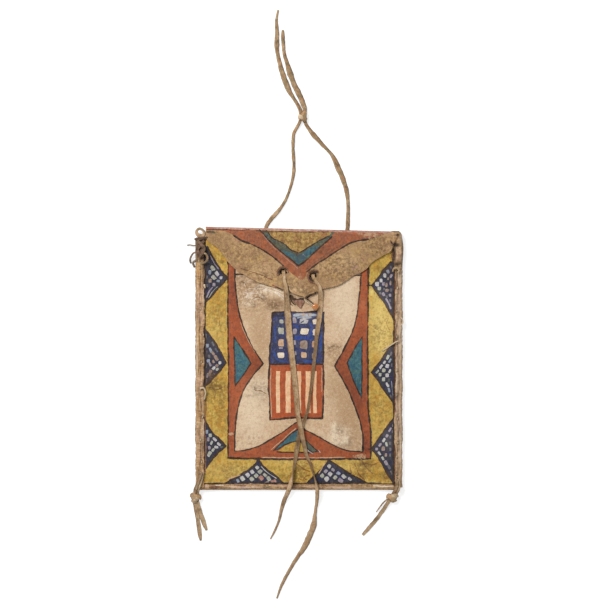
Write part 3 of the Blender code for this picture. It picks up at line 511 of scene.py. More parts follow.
# Strokes, the last on top: colour, then one or more strokes, each its width and its points
FRONT_STROKES = (
    ("royal", (3.4, (310.6, 324.6), (311.6, 329), (310.8, 334), (311.6, 340)), (3, (295.6, 338), (301, 337.6),
     (309, 338.8)), (2.6, (295.8, 325.4), (298, 327.8)), (2.6, (320.6, 336), (320.9, 343), (320.2, 350)),
     (2.2, (304, 361.4), (310, 361.8), (318, 361)), (1.6, (273.6, 351), (277, 359.6), (286, 361.8)), (1.2,
     (274.4, 326), (275, 334), (274.2, 342))),
    ("navy", (3, (274.6, 315.4), (280, 315.8), (284, 315.2))),
    # The first stroke here and the first stroke of the next umber group paint the shadow in the slit beside
    # the right corner tab; that umber group's second stroke paints shade under the flap's tip.
    ("line", (2.4, (393.3, 246.6), (393.7, 254), (393.2, 262)), (1.9, (236, 274.5), (243.4, 274.3)), (1.7,
     (352, 275.5), (361, 275.1)), (1.2, (372.2, 285.3), (366.6, 285.4)), (1, (371.4, 449.5), (368, 449.2))),
    ("umber", (1.6, (391.6, 247), (392.2, 252), (391.8, 258)), (1.6, (289.6, 303.5), (292.4, 299.6))),
    ("bare", (0.7, (271.4, 450), (281.4, 441), (288.7, 434.2), (296, 428.6))),
    ("cell", (0.7, (305.4, 448.4), (313, 453.9)), (0.7, (318.8, 450), (320, 452.5)), (0.8, (261, 466.5),
     (267, 472.3), (276.5, 478.8))),
    ("bare", (0.8, (262, 457.3), (290, 457.8), (345, 457.5)), (0.5, (240.3, 322), (246.5, 337), (254.3, 352)),
     (0.6, (270.8, 368), (270.6, 392), (271.4, 417)), (0.6, (321.7, 368), (321.8, 392)), (0.8, (227.5, 479.3),
     (240, 475)), (1, (325.2, 463.4), (318.6, 473.2))),
    ("lilac", (0.9, (210.5, 256), (214, 262.5), (218.3, 269)), (1.5, (212.5, 287.5), (209.5, 291),
     (206.5, 297)), (1.9, (386, 298.7), (388.5, 303), (390.6, 308.5))),
    ("straw", (0.6, (217.8, 286.5), (213, 291), (208.5, 297.5))),
    ("sky", (2.4, (294.5, 315.4), (300, 314.6), (309, 315), (316, 315.4))),
    ("blue", (1.3, (300, 316.2), (303.6, 315.6)), (1, (308, 314.2), (309, 317))),
    # The thin second stroke here paints a highlight along the right binding's lip.
    ("sky", (1.6, (298, 318), (302, 317.2), (311, 318)), (0.55, (391.6, 381.4), (392.2, 388), (392.8, 397))),
    ("blue", (0.9, (300.5, 323), (304, 321)), (0.8, (306.5, 319.5), (309.5, 320.2))),
    ("crack", (0.68, (205.5, 388.3), (211, 387), (217.5, 389.4), (226, 385.8)), (0.61, (212, 387.2),
     (215.5, 393), (214, 399.5)), (0.7, (254.4, 386.6), (255, 390.4), (261, 391), (266, 393.6))),
    ("rust", (1.3, (296, 463.5), (299.5, 466), (304, 469), (309.5, 471.4)), (1.1, (303, 480.4), (306, 476.6),
     (309.6, 475)), (1, (299, 479), (302.6, 480.6), (307, 480)), (0.9, (303.6, 462.4), (308, 464.2)), (1.2,
     (354.6, 463.4), (357.6, 471), (360.6, 476.4), (365, 480.6))),
    ("crack", (0.9, (311.5, 462.6), (314, 467.5)), (1.2, (361, 459.5), (366.4, 467.5), (372.4, 474)), (0.8,
     (349.6, 465.6), (351.8, 474.5)), (0.48, (369.6, 324), (378, 330), (386, 331.5)), (0.48, (374, 344),
     (381, 341), (388, 343.6)), (0.51, (388.5, 318), (386.5, 324), (389.6, 330)), (0.6, (331.6, 421),
     (334, 424.6)), (0.45, (327.5, 349.6), (333, 346), (340.6, 347.4)), (0.45, (240.6, 281), (245, 284),
     (247.6, 290)), (0.45, (252, 300), (257.6, 297), (262, 299.4)), (0.48, (264.4, 280.6), (268, 286.5),
     (274.6, 290.6))),
    ("rust", (1, (364, 462.6), (372, 465), (378, 462.6))),
    # The first four strokes here paint the shadow under the flap's tip and under its lower right edge; the
    # last is a dark line at the panel's foot.
    ("line", (2.8, (290.4, 296.4), (294.6, 299.4), (303.6, 300)), (1.8, (290.6, 299), (292.6, 302.4),
     (295.6, 305)), (1.5, (305.2, 298.6), (309.4, 296), (315.8, 293.2)), (1.4, (305.6, 298), (308.6, 299.2)),
     (1.2, (204.8, 484.4), (222, 484.2))),
    # The first stroke here paints shade under the flap's tip.
    ("umber", (1.3, (290.6, 303.6), (292.6, 305.6)), (2.6, (209.6, 487.4), (214, 487.8), (218.6, 487.4))),
    ("bare", (2.2, (202.6, 486.4), (208, 485.6))),
    ("crest", (2.6, (229.6, 486.6), (243, 487.2), (256, 486.8)), (2, (328, 486.8), (350, 487.4))),
    ("crack", (0.71, (219, 488), (228.6, 487))),
    ("slate", (1.2, (262, 488), (270, 487.4))),
    ("cell", (1.3, (291, 488), (293.6, 487.8))),
    ("white", (1.5, (374, 485.8), (384, 486.3), (393, 486)), (1.2, (264, 289.4), (271, 290.8), (278, 294.4),
     (283.6, 299.6)), (1.1, (275, 291.6), (282, 295.4), (286.6, 301.4)), (1.8, (246.4, 297.6), (249.6, 294.4),
     (252.6, 293)), (1.1, (252, 292.6), (256, 288), (261, 284.6)), (1.2, (243.4, 292), (247.6, 293.4),
     (250.6, 297.4)), (0.9, (258, 285.6), (266, 286.6), (275, 289.6), (283, 293.2)), (0.8, (246, 290),
     (251, 288.6), (257, 289.8)), (1, (248, 295.6), (253, 293.4), (259.5, 294.6), (264.5, 298.4)), (0.7,
     (252, 300.6), (257, 298.6), (262, 300.2)), (0.8, (264, 290.4), (269, 291.4), (274.6, 295.2)), (0.7,
     (243.6, 285), (246.4, 281.6), (250.6, 280.4))),
    ("crack", (0.65, (379, 488.4), (384.6, 488))),
    ("umber", (1.6, (352, 487.8), (371, 488))),
    ("bare", (1.8, (270, 485.9), (290, 486.3)), (1.6, (224, 486.4), (240, 487)), (1.4, (245, 487.6),
     (262, 487.2)), (2, (302, 486.6), (320, 487)), (1.8, (334, 488), (349, 488.4))),
    ("umber", (0.9, (284, 487.6), (300, 488)), (0.8, (322, 485.8), (345, 486)), (0.9, (234, 485.2),
     (246, 485.6))),
    ("white", (1.2, (216, 485.6), (223, 485.8))),
    # The long strokes along x 205 and along x 393 to 395, here and below, paint the shade where each
    # binding's lip meets the panel.
    ("line", (0.7, (208, 489.4), (232, 489.7), (250, 489.3)), (0.6, (330, 489.4), (352, 489.8), (378, 489.3)),
     (1.5, (205, 240), (205.7, 254), (205.9, 268), (205.2, 284), (205.6, 300), (205, 316), (205.1, 340),
     (205.8, 362), (205.6, 388))),
    ("umber", (1.3, (205.3, 388), (205.7, 405), (205.2, 425), (205.7, 448), (205.1, 474)), (3.4, (395.2, 262),
     (395.4, 300), (395.1, 330), (395.3, 366), (395, 400), (395.3, 440), (395, 484))),
    ("line", (1.8, (393.7, 262), (394.1, 284), (393.5, 306), (394, 330), (393.6, 352), (394.2, 378),
     (393.6, 402), (394, 430), (393.5, 456), (393.9, 484))),
)
FLAP_STROKES = (
    # The strokes round the tab's hole at (393, 244) and round the two tie holes paint the shade inside the
    # holes; the line strokes along the flap's edge from (288.6, 286.4) to (316.6, 291.8) paint the shade
    # under its tip.
    ("umber", (3, (390.4, 241.6), (392.4, 243.6), (394.6, 244.6)), (3, (277.9, 275.2), (278.4, 271),
     (281, 268), (285.2, 268.2), (287.8, 272)), (3, (317.6, 271.4), (312.8, 271), (309.2, 273.8),
     (308.8, 278.6), (312.6, 282.4)), (1.3, (206.6, 227), (232, 227.2), (262, 228), (300, 229), (340, 230.2),
     (392, 231.2))),
    ("line", (1.8, (391.4, 242.6), (393, 244.2), (395, 245)), (2.4, (279.1, 274.6), (279.6, 271.2),
     (281.8, 269.2), (285, 269.4), (286.9, 272.6)), (2.4, (316.8, 272.4), (312.9, 272.1), (310.4, 274.6),
     (310, 278.2), (312.8, 280.8)), (0.8, (206.6, 229.6), (218, 229.3), (236, 230.6), (250, 229.8)), (0.9,
     (256, 230.4), (262, 231.6), (300, 231.9), (335, 232.2)), (1.4, (288.6, 286.4), (289.4, 291.2),
     (293, 294.4), (299, 296.4), (304.6, 297.6)), (1.2, (304.8, 297.6), (309.6, 295.2), (316.6, 291.8)), (1.5,
     (275.5, 287), (279, 288.6), (283, 290.3)), (1.2, (260.2, 231.3), (266, 231.6), (269, 232.4))),
    ("flap_red", (1.2, (272.3, 285.3), (276.5, 286.8))),
    ("umber", (1, (241, 268.6), (250, 271.6), (262, 275.4), (272, 280))),
    ("crack", (0.51, (240.5, 270), (249, 267), (260.2, 262.9), (270.7, 259.4)), (0.42, (246.5, 271.6),
     (253.4, 274.6), (260, 274)), (0.42, (262, 267), (266.4, 272), (264.8, 278))),
    ("slate", (1.8, (207.6, 232.3), (211, 231.8), (214.6, 232.6))),
    ("crack", (0.55, (214, 233), (219, 235.4)), (0.51, (306.6, 281.4), (311.6, 284), (316.6, 283.4))),
    ("crest", (0.6, (262.6, 234.4), (270, 243.6), (284, 256.4), (297.6, 268.6))),
    ("sky", (1.6, (303.2, 254.6), (304.6, 256))),
    # Painted shade below the right tie hole.
    ("umber", (1.6, (311, 281.4), (314.6, 283.2), (318, 282.6))),
    ("crack", (0.58, (308, 292.6), (316, 290.4), (322, 287)), (0.48, (352, 277.6), (359, 273.4), (366, 271)),
     (0.45, (330, 262), (338, 258.6), (343, 259.6))),
    ("umber", (1.1, (305, 270.6), (309, 266.4), (316, 261.6), (325, 255.6)), (1.2, (326, 254.6), (336, 248),
     (345, 243.4))),
    ("crest", (1.2, (352, 269.4), (358, 266))),
)

# Cells of the lattices and of the block: colour, place, half-width, half-height and lean in degrees
CELLS = (
    ("straw", 212.5, 268.3, 2.1, 2.8, -25), ("sky", 209.6, 272.6, 1.5, 2.4, 5),
    ("cell", 217.1, 273.6, 1.8, 2.4, -35), ("straw", 213.6, 277.6, 2, 2.6, -40),
    ("cell", 221.2, 277.9, 1.4, 1.6), ("clay", 210, 280.8, 1.6, 1.9), ("sky", 218.2, 281.1, 1.7, 1.4),
    ("lilac", 213.9, 284.7, 1.6, 1.7), ("dusk", 209.2, 261.6, 1.2, 1.6), ("dusk", 206.6, 277, 0.9, 1.6),
    ("dusk", 207.2, 285.4, 1, 1.5), ("sky", 207.2, 345.8, 1.6, 2), ("sky", 210.7, 350.3, 1.2, 2.7, -25),
    ("dusk", 209, 356.3, 1.1, 1.8), ("dusk", 205.6, 335.6, 0.9, 2.6), ("dusk", 206, 352.4, 1, 1.8),
    ("dusk", 213, 344, 1, 2.6, -30), ("dusk", 216.4, 350.6, 0.9, 2.6, -30), ("dusk", 206.2, 365.6, 1, 2),
    ("dusk", 206.4, 381.2, 0.9, 2.4, 10), ("clay", 212.9, 353.5, 1.2, 2.4, -30),
    ("sky", 208.2, 360.8, 1.5, 1.7), ("clay", 216.1, 358.1, 1.7, 3.2, -30),
    ("clay", 213.2, 361.7, 1.3, 1.8, -20), ("lilac", 210, 364.2, 1.1, 2.1, -30),
    ("cell", 219.6, 362.8, 1.5, 1.5), ("clay", 216.8, 365.6, 1.4, 1.5, 30),
    ("cell", 213.6, 368.1, 1.4, 1.9, 35), ("clay", 210, 373.1, 1.5, 3.6, 20),
    ("lilac", 207.5, 375.3, 1, 2.5, 10), ("straw", 217.1, 369.4, 1.4, 1.6, 30),
    ("sky", 206.8, 432, 1.5, 1.9), ("straw", 210.4, 435.2, 1.8, 1.8), ("lilac", 208.2, 439.1, 1.1, 2.2),
    ("cell", 214.6, 439.5, 1.4, 2.4, -45), ("straw", 211.4, 442.7, 1.1, 2, 25),
    ("cell", 218.9, 444.1, 1.3, 2.3, -50), ("lilac", 209.3, 447.7, 1.4, 1.8),
    ("cell", 216.1, 447, 1.9, 1.4), ("slate", 221.6, 447, 2, 0.9), ("straw", 212.9, 449.9, 1.3, 1.9, 30),
    ("straw", 209.3, 454.1, 1.7, 3.2, 30), ("sky", 388.1, 271.6, 1.4, 2.2, -25),
    ("cell", 384.7, 275.5, 1.5, 2.2), ("lilac", 391, 276.2, 1.3, 1.9, 25), ("cell", 381, 280.7, 1.5, 1.9),
    ("clay", 388.1, 278.7, 1.1, 1.5), ("cell", 377.1, 284.4, 1.9, 2.2), ("lilac", 383.5, 284.1, 1.4, 1.9),
    ("clay", 386.7, 285, 1.4, 2), ("clay", 390.6, 283, 0.9, 2.2), ("straw", 379.6, 288.7, 1.7, 1.7),
    ("clay", 387.1, 290.5, 1.7, 1.7), ("lilac", 383.5, 294.4, 1.7, 1.8, -30),
    ("lilac", 389.9, 295.1, 1.3, 1.7), ("dusk", 391, 267.4, 1, 1.6), ("dusk", 391.2, 290, 0.9, 1.6),
    ("dusk", 386.8, 296.4, 1, 1.4), ("dusk", 380.6, 293, 0.9, 1.3), ("dusk", 389.8, 300.4, 0.9, 1.6),
    ("dusk", 384.6, 289.4, 0.9, 1.2), ("straw", 387.8, 356.9, 1.3, 2.7, 28),
    ("sky", 389.9, 360.5, 0.9, 2.2, 25), ("cell", 384.4, 362.3, 1.2, 1.8, 30),
    ("cell", 387.3, 365.9, 1.7, 2.2, 10), ("cell", 381.1, 366.7, 1.3, 2.6, 35),
    ("straw", 383.7, 370.3, 1.8, 2.2, 10), ("cell", 389.6, 371.2, 0.9, 1.9, 20),
    ("straw", 377.1, 371.6, 1.1, 2.1, 40), ("straw", 380.1, 374.4, 1.5, 1.7),
    ("cell", 387.2, 375.5, 1.8, 1.8), ("straw", 383.3, 379.1, 1.6, 2), ("slate", 388.9, 380.1, 1.1, 1.8),
    ("cell", 387.4, 384.8, 1.3, 2.6, -30), ("sky", 388.9, 390.1, 1.1, 2.4, -15),
    ("dusk", 390.4, 396.4, 0.8, 2, -15), ("dusk", 391, 354, 0.9, 2.2, 20),
    ("dusk", 391.6, 365.4, 0.7, 1.8, 10), ("straw", 393.9, 424.5, 1.1, 2.9, 25),
    ("lilac", 390.2, 429.9, 1, 2.6, 28), ("lilac", 387.3, 436.2, 1.4, 1.9, 30),
    ("cell", 384.2, 440.3, 1.2, 2.3, 32), ("straw", 386.7, 444.5, 1.1, 2.2, -10),
    ("lilac", 380.3, 444.9, 1.2, 2, 35), ("lilac", 376.8, 449.1, 1.3, 1.4),
    ("clay", 383.5, 448.7, 1.8, 2.2), ("clay", 386, 454.9, 1.3, 1.8), ("cell", 379.5, 453.3, 1.1, 2.1, -35),
    ("straw", 382.9, 458.3, 1.2, 1.9, -30), ("lilac", 386, 462.8, 1.4, 2.5, -30),
    ("dusk", 389.2, 466.8, 1.2, 2.6, -28), ("dusk", 390.6, 437.4, 1, 1.7, 10),
    ("dusk", 390.2, 443.4, 1, 1.7), ("dusk", 390.6, 449.4, 1, 1.7), ("dusk", 390, 455, 0.9, 1.6),
    ("dusk", 391.4, 472.6, 0.8, 2, -20), ("dusk", 392.6, 431.6, 0.7, 1.6, 10),
    ("cell", 256.9, 467.8, 2.17, 1.94, 48), ("cell", 251.9, 472.1, 2.17, 1.94, 52),
    ("straw", 260, 471.7, 2.05, 2.17, 45), ("cell", 247.7, 475.2, 2.39, 1.94, 55),
    ("straw", 256.2, 475.9, 2.17, 2.17, 48), ("straw", 265, 475.2, 1.94, 1.6, 45),
    ("cell", 242.7, 478.6, 2.51, 2.05, 58), ("straw", 251.9, 479, 2.28, 1.94, 50),
    ("crest", 261.4, 478.2, 2.5, 2.2, 45), ("straw", 268.8, 479, 2.62, 1.82, 60),
    ("sky", 237.7, 480.7, 2.17, 1.48, 65), ("crest", 273.8, 482.2, 2.28, 2.74, 62),
    ("clay", 267.3, 483, 1.48, 2.17, 70), ("cell", 329.2, 466.3, 1.94, 1.94, 45),
    ("lilac", 333.2, 470.2, 1.37, 1.94, -50), ("lilac", 325.8, 471.3, 1.71, 2.05, 40),
    ("sky", 338.3, 473.2, 1.6, 2.05, -55), ("cell", 330.2, 474.2, 2.17, 2.28, 40),
    ("straw", 322.3, 475.9, 2.05, 2.05, 45), ("cell", 343.5, 476.3, 1.71, 2.62, -50),
    ("straw", 335.2, 477.5, 1.82, 2.05, 40), ("cell", 326.9, 479, 2.28, 2.51, 55),
    ("cell", 349.8, 479, 1.48, 2.39, -55), ("lilac", 340.8, 480.5, 1.94, 2.74, -62),
    ("straw", 281.5, 321.4, 2.1, 2.1), ("lilac", 294.7, 320.3, 1.7, 2.9), ("cell", 304, 321.2, 4.4, 2.9),
    ("white", 315.1, 322.1, 2.2, 2.7), ("straw", 281.3, 331, 3, 3.3), ("lilac", 294.7, 331.4, 1.9, 3),
    ("white", 304.7, 331.6, 4.1, 3.3), ("white", 314.4, 332.4, 1.7, 3.3), ("bare", 281.1, 342.8, 3, 3.7),
    ("lilac", 280.8, 347.9, 2.2, 0.8), ("lilac", 294.4, 342.4, 1.7, 2.5), ("clay", 303.4, 344.6, 3.9, 4.4),
    ("bare", 313.3, 343.9, 1.6, 3.1), ("white", 280.8, 355.3, 3.4, 2.7), ("lilac", 294.7, 353, 1.6, 2.3),
    ("bare", 303.6, 354.9, 2.9, 3), ("clay", 314, 356, 2.2, 3),
)
# How much wider a field's lines and how much smaller the cells are painted than they are written
LINE_SCALE = 1.25
CELL_SCALE = 0.97
# Corners of a painted cell and of a punched hole, and the step along the sheet's cut edge
CELL_CORNERS = 14
HOLE_CORNERS = 26
EDGE_STEP = 2 * MM
# The stripes below the block: left and right side of each, and their common ends
STRIPES = ((276.0, 279.9), (285.7, 290.7), (296.6, 300.9), (305.6, 310.6), (313.3, 316.6))
STRIPE_TOP = 371.4
STRIPE_BOTTOM = 412.8

# Soft spots by the value they change: place, half-width and half-height, and amount
FRONT_SPOTS = {
    "tan": (
        (248, 290, 20, 26, 0.8), (262, 335, 11, 28, 0.8), (257, 378, 12, 26, 0.75), (335, 356, 11, 14, 0.6),
        (349, 402, 15, 34, 0.95), (336, 386, 10, 18, 0.6), (300, 302, 16, 9, 0.5), (356, 438, 9, 14, 0.7),
        (245, 300, 8, 8, 0.4), (217, 316, 9, 14, 0.2), (369, 464, 9, 4, 0.7), (210, 258, 6, 9, 0.6),
        (213, 275, 9, 14, 0.35), (366, 446, 4, 14, 0.5), (382, 411, 8, 14, 0.3), (216, 487, 8, 3, 0.5),
        (379, 267, 8, 4, 0.25), (349, 424, 11, 12, 1), (350, 438, 7, 8, 0.9), (275, 305, 11, 8, 1),
        (240, 570, 34, 44, 0.5), (350, 700, 40, 24, 0.5),
    ),
    "stain": (
        # The stains at (299, 296), (297, 303) and (292, 299) darken the panel under the flap's tip as painted
        # shade.
        (262, 392, 8, 9, 0.35), (217, 387, 11, 5, 0.55), (363.5, 465, 6, 3, 0.7), (385.5, 477, 5, 6, 0.6),
        (362, 474, 4, 5, 0.45), (243, 283, 5, 3, 0.5), (265, 300, 3, 2, 0.5), (254, 305, 3, 3, 0.45),
        (258, 288, 4, 2, 0.45), (211, 378, 7, 9, 0.6), (222, 401, 4, 10, 0.25), (299, 296, 6, 5, 0.35),
        (297, 303, 4, 3, 0.8), (341, 447, 12, 3, 0.3), (226, 470, 8, 6, 0.3), (300, 472, 7, 8, 0.35),
        (288, 478, 7, 4, 0.35), (377, 330, 5, 12, 0.2), (292, 299, 3.4, 4, 0.7), (240, 277, 8, 2.4, 0.45),
        (262, 283, 12, 2, 0.45), (262, 297, 4, 3, 0.5), (388, 270, 4, 6, 0.4), (379, 270, 6, 3, 0.35),
        (291, 437, 8, 6, 0.1), (222.5, 262, 2.5, 2, 0.5), (341.4, 430, 2.2, 4.5, 0.5),
        (350, 441.6, 2, 4.5, 0.5), (343, 444.4, 5.5, 1.6, 0.45), (249, 396, 6, 1.6, 0.4),
        (254.6, 388, 2, 4, 0.5), (337.6, 428, 2, 5, 0.4), (334, 347, 8, 3, 0.4), (275, 305, 9, 6, 0.7),
        (330, 640, 16, 10, 0.45), (232, 690, 12, 14, 0.4), (290, 560, 9, 16, 0.3),
    ),
    "pale": (
        (341, 436, 9, 10, 0.6), (252, 412, 16, 36, 0.45), (344, 300, 14, 34, 0.55), (371.6, 292, 2, 4, 0.9),
        (378, 300, 5, 20, 0.3), (311.6, 327, 2, 5, 0.25), (305, 315.5, 13, 2.4, 0.9),
        (376, 440, 5, 20, 0.25), (380, 408, 7, 8, 0.15), (362.9, 305, 3, 7, 0.5), (387, 438, 5, 14, 0.45),
        (214, 470, 8, 8, 0.2), (381, 322, 13, 26, 0.75), (384, 345, 10, 14, 0.6), (258, 388, 15, 12, 0.55),
        (252, 412, 10, 16, 0.3), (340, 433, 12, 9, 0.15), (346, 439.6, 2.4, 3.4, 0.9),
        (334, 432, 3.4, 11, 0.9), (340, 443, 10, 2.2, 0.8), (216, 332, 11, 22, 0.25),
        (234, 472, 16, 8, 0.3), (300, 462, 26, 6, 0.35), (352, 466, 20, 6, 0.3), (248, 304, 8, 3, 0.5),
        (262, 290, 7, 3, 0.5), (249, 296, 6, 5, 0.8), (263, 289, 7, 4.5, 0.6), (275, 292.4, 9, 4.6, 0.35),
        (240, 487, 30, 2, 0.5), (350, 487.4, 40, 2, 0.45), (352, 560, 30, 34, 0.35),
        (260, 660, 26, 20, 0.3),
    ),
    "wear": (
        (231.3, 434, 5, 1.6, 1), (361, 456.5, 10, 3.4, 0.9), (305, 315, 13, 3, 0.8), (345, 441, 9, 10, 0.4),
        (213, 376, 6, 9, 0.5), (386, 289, 6, 8, 0.35), (386, 451, 6, 8, 0.35), (300, 489, 90, 3, 0.5),
        (240, 487, 14, 4, 0.3), (352, 487, 40, 4, 0.6),
    ),
    "dirt": (
        (250, 292, 22, 18, 0.9), (212, 262, 10, 12, 0.9), (217, 320, 12, 16, 0.6), (216, 392, 14, 12, 1),
        (218, 415, 10, 20, 0.5), (300, 474, 12, 10, 0.7), (360, 470, 16, 12, 0.8), (232, 472, 16, 10, 0.5),
        (382, 335, 12, 18, 0.5), (380, 405, 12, 14, 0.5), (342, 436, 14, 12, 0.3), (258, 386, 14, 10, 0.35),
        (336, 354, 14, 12, 0.6), (364, 448, 6, 12, 0.8), (248, 440, 14, 8, 0.4), (300, 486, 100, 4, 0.9),
        (300, 620, 110, 130, 0.8),
    ),
}
FLAP_SPOTS = {
    "stain": (
        # The stains at (283, 267.5) and (310, 271.5) paint shade at the tops of the tie holes, and the one at
        # (307, 293.4) shade along the tip's lower edge.
        (211.5, 232.2, 6, 1.1, 0.8), (264.5, 231.5, 6, 1.4, 0.8), (307, 293.4, 6, 2, 0.5),
        (298, 256, 9, 6, 0.5), (279, 246, 9, 6, 0.3), (318, 249, 8, 5, 0.3), (356, 281.6, 14, 2.6, 0.4),
        (305, 276, 3, 3, 0.3), (283, 267.5, 4, 1.4, 0.5), (310, 271.5, 4, 2, 0.5), (240, 268, 14, 1.6, 0.3),
        (330, 289, 10, 1.8, 0.4), (372, 266, 10, 2, 0.4),
    ),
    "tan": (
        (216, 238, 12, 7, 0.5), (222, 246, 10, 9, 0.4), (312, 287, 9, 7, 0.7), (286, 280, 8, 8, 0.3),
        (384, 245, 14, 9, 0.6), (352, 270, 20, 8, 0.25), (326, 276, 10, 9, 0.35), (217, 238, 9, 6, 0.5),
    ),
    "pale": (
        # The pale spots at (298, 290.6) and (292, 289) paint a highlight along the lower edge of the flap's
        # tip.
        (298, 290.6, 8, 2.6, 0.7), (344, 258, 14, 9, 0.25), (262, 270, 12, 8, 0.35), (280, 264, 5, 4, 0.4),
        (322, 266, 10, 6, 0.25), (292, 289, 4, 2, 0.6), (316, 259, 7, 5, 0.2), (345, 264, 16, 9, 0.3),
    ),
    "dirt": (
        (240, 252, 26, 14, 0.6), (262, 274, 20, 12, 0.7), (340, 268, 32, 16, 0.8), (300, 288, 16, 8, 0.8),
        (380, 246, 20, 12, 0.8), (296, 240, 40, 8, 0.6),
    ),
    "wear": (
        (296, 268, 6, 4, 0.4), (372, 236, 14, 4, 0.7), (215, 229, 9, 3, 0.25), (300, 231, 100, 1.8, 0.5),
        (275, 240, 5, 4, 0.3), (325, 240, 8, 3, 0.4), (300, 277, 5, 4, 0.6), (290, 255, 6, 4, 0.35),
    ),
}


def to_plan(point):
    return ((point[0] - PIXEL_X) * PIXEL, (PIXEL_Y - point[1]) * PIXEL)


def on_front(point):
    """A pixel on the front panel, as a place on the unrolled sheet, in metres."""
    x, y = to_plan(point)
    return x, FOLD_Y - y


def flap_place(x, y):
    """A place on the flap in plan, as a place on the unrolled sheet."""
    return x, BOTTOM_ARC + top_tangent(x) - FOLD_Y + TOP_ARC + top_tangent(x) - y


def on_flap_sheet(point):
    """A pixel on the flap or on the top fold, as a place on the unrolled sheet."""
    x, y = to_plan(point)
    if y <= top_tangent(x):
        return flap_place(x, y)
    start = BOTTOM_ARC + top_tangent(x) - FOLD_Y
    angle = math.acos(min(1.0, (y - top_tangent(x)) / TOP_FOLD))
    beyond = max(0.0, y - top_line(x))
    return x, start + TOP_ARC * (0.5 + angle / math.pi) - beyond


def sheet_point(x, v):
    """Where a place on the unrolled sheet lies on the pouch's outer face."""
    if v <= 0.0:
        return x, FOLD_Y - v, front_face(x, FOLD_Y - v)
    if v < BOTTOM_ARC:
        angle = math.pi / 2 - math.pi * v / BOTTOM_ARC
        low, high = back_face(x, FOLD_Y), front_face(x, FOLD_Y)
        return x, FOLD_Y - BOTTOM_FOLD * math.cos(angle), (low + high + (high - low) * math.sin(angle)) / 2
    top = top_tangent(x)
    start = BOTTOM_ARC + top - FOLD_Y
    if v <= start:
        y = FOLD_Y + v - BOTTOM_ARC
        return x, y, back_face(x, y)
    if v < start + TOP_ARC:
        angle = math.pi * (v - start) / TOP_ARC - math.pi / 2
        low, high = back_face(x, top), flap_face(x, top)
        return x, top + TOP_FOLD * math.cos(angle), (low + high + (high - low) * math.sin(angle)) / 2
    y = top - (v - start - TOP_ARC)
    return x, y, flap_face(x, y)


def wobble(x, v):
    """The unsteady hand of a painted or cut line."""
    broad = 0.45 * MM
    fine = 0.35 * MM
    return (x + broad * ripple(x, v, 16 * MM, 1.3) + fine * ripple(x, v, 4 * MM, 5.9),
            v + broad * ripple(x, v, 16 * MM, 11.3) + fine * ripple(x, v, 4 * MM, 15.9))


def spread(points, step):
    """The straight run between two points, or a smooth curve through more."""
    if len(points) > 2:
        return [tuple(point) for point in smooth_curve(points, step)]
    start, end = np.array(points[0]), np.array(points[1])
    count = max(1, math.ceil(np.linalg.norm(end - start) / step))
    return [tuple(start + (end - start) * index / count) for index in range(count + 1)]


def stroke_outline(points, width):
    """The outline of a brush stroke along points on the sheet."""
    points = np.array(points)
    run = unit(np.gradient(points, axis=0))
    side = np.stack([-run[:, 1], run[:, 0]], axis=1)
    points[0] -= run[0] * width * 0.4
    points[-1] += run[-1] * width * 0.4
    swell = np.array([0.95 + 0.75 * ripple(x, v, 7 * MM, 21.1) + 0.5 * ripple(x, v, 2.5 * MM, 27.1)
                      for x, v in points])
    swell[[0, -1]] *= 0.6
    half = width / 2 * swell[:, None]
    return [tuple(point) for point in np.concatenate([points + side * half, (points - side * half)[::-1]])]


def painted_shapes():
    """Every painted shape as (colour, outline on the sheet), the last on top."""
    fields, strokes = [], []
    for place, all_fields in ((on_front, FRONT_FIELDS), (on_flap_sheet, FLAP_FIELDS)):
        for colour, *sides in all_fields:
            last = sides[-1][-1]
            outline = []
            for width, *points in sides:
                run = [wobble(*place(point)) for point in spread([last] + points, 1.0)]
                outline += run[:-1]
                if width:
                    strokes.append(("line", stroke_outline(run, LINE_SCALE * width * PIXEL)))
                last = points[-1]
            fields.append((colour, outline))
    for left, right in STRIPES:
        corners = [(left, STRIPE_TOP), (right, STRIPE_TOP), (right, STRIPE_BOTTOM), (left, STRIPE_BOTTOM)]
        outline = []
        for ends in zip(corners, corners[1:] + corners[:1]):
            outline += [wobble(*on_front(point)) for point in spread(ends, 1.0)[:-1]]
        fields.append(("stripe", outline))
    for colour, *cell in CELLS:
        fields.append((colour, round_cell(*cell)))
    for place, groups in ((on_front, FRONT_STROKES), (on_flap_sheet, FLAP_STROKES)):
        for colour, *group in groups:
            for width, *points in group:
                run = [wobble(*place(point)) for point in spread(points, 1.0)]
                strokes.append((colour, stroke_outline(run, width * PIXEL)))
    return fields + strokes


def round_cell(centre_x, centre_y, width, height, lean=0.0):
    """A cell as a rounded rectangle with an unsteady edge, which leans to the right for a positive angle."""
    outline = []
    lean = math.radians(lean)
    for index in range(CELL_CORNERS):
        angle = 2 * math.pi * (index + 0.5) / CELL_CORNERS
        x = CELL_SCALE * width * power(math.cos(angle), 0.5)
        y = CELL_SCALE * height * power(math.sin(angle), 0.5)
        swell = 1.0 + 0.24 * ripple(centre_x + x, centre_y + y, 2.2, 31.7)
        outline.append(wobble(*on_front((centre_x + swell * (x * math.cos(lean) - y * math.sin(lean)),
                                         centre_y + swell * (x * math.sin(lean) + y * math.cos(lean))))))
    return outline


def within(points, outline):
    """Which points lie inside an outline, by its winding."""
    x, y = points[:, 0], points[:, 1]
    winding = np.zeros(len(points), dtype=int)
    for (x0, y0), (x1, y1) in zip(outline, outline[1:] + outline[:1]):
        cross = (x1 - x0) * (y - y0) - (x - x0) * (y1 - y0)
        winding += (y0 <= y) & (y1 > y) & (cross > 0)
        winding -= (y0 > y) & (y1 <= y) & (cross < 0)
    return winding != 0


def hole_outline(centre, size, seed):
    """A torn punch hole on the sheet."""
    outline = []
    for angle in circle(HOLE_CORNERS):
        x, y = math.cos(angle), math.sin(angle)
        reach = (1.0 + 0.16 * wave(2 * x, 2 * y, seed)) / 2
        outline.append((centre[0] + size[0] * reach * x, centre[1] + size[1] * reach * y))
    return outline


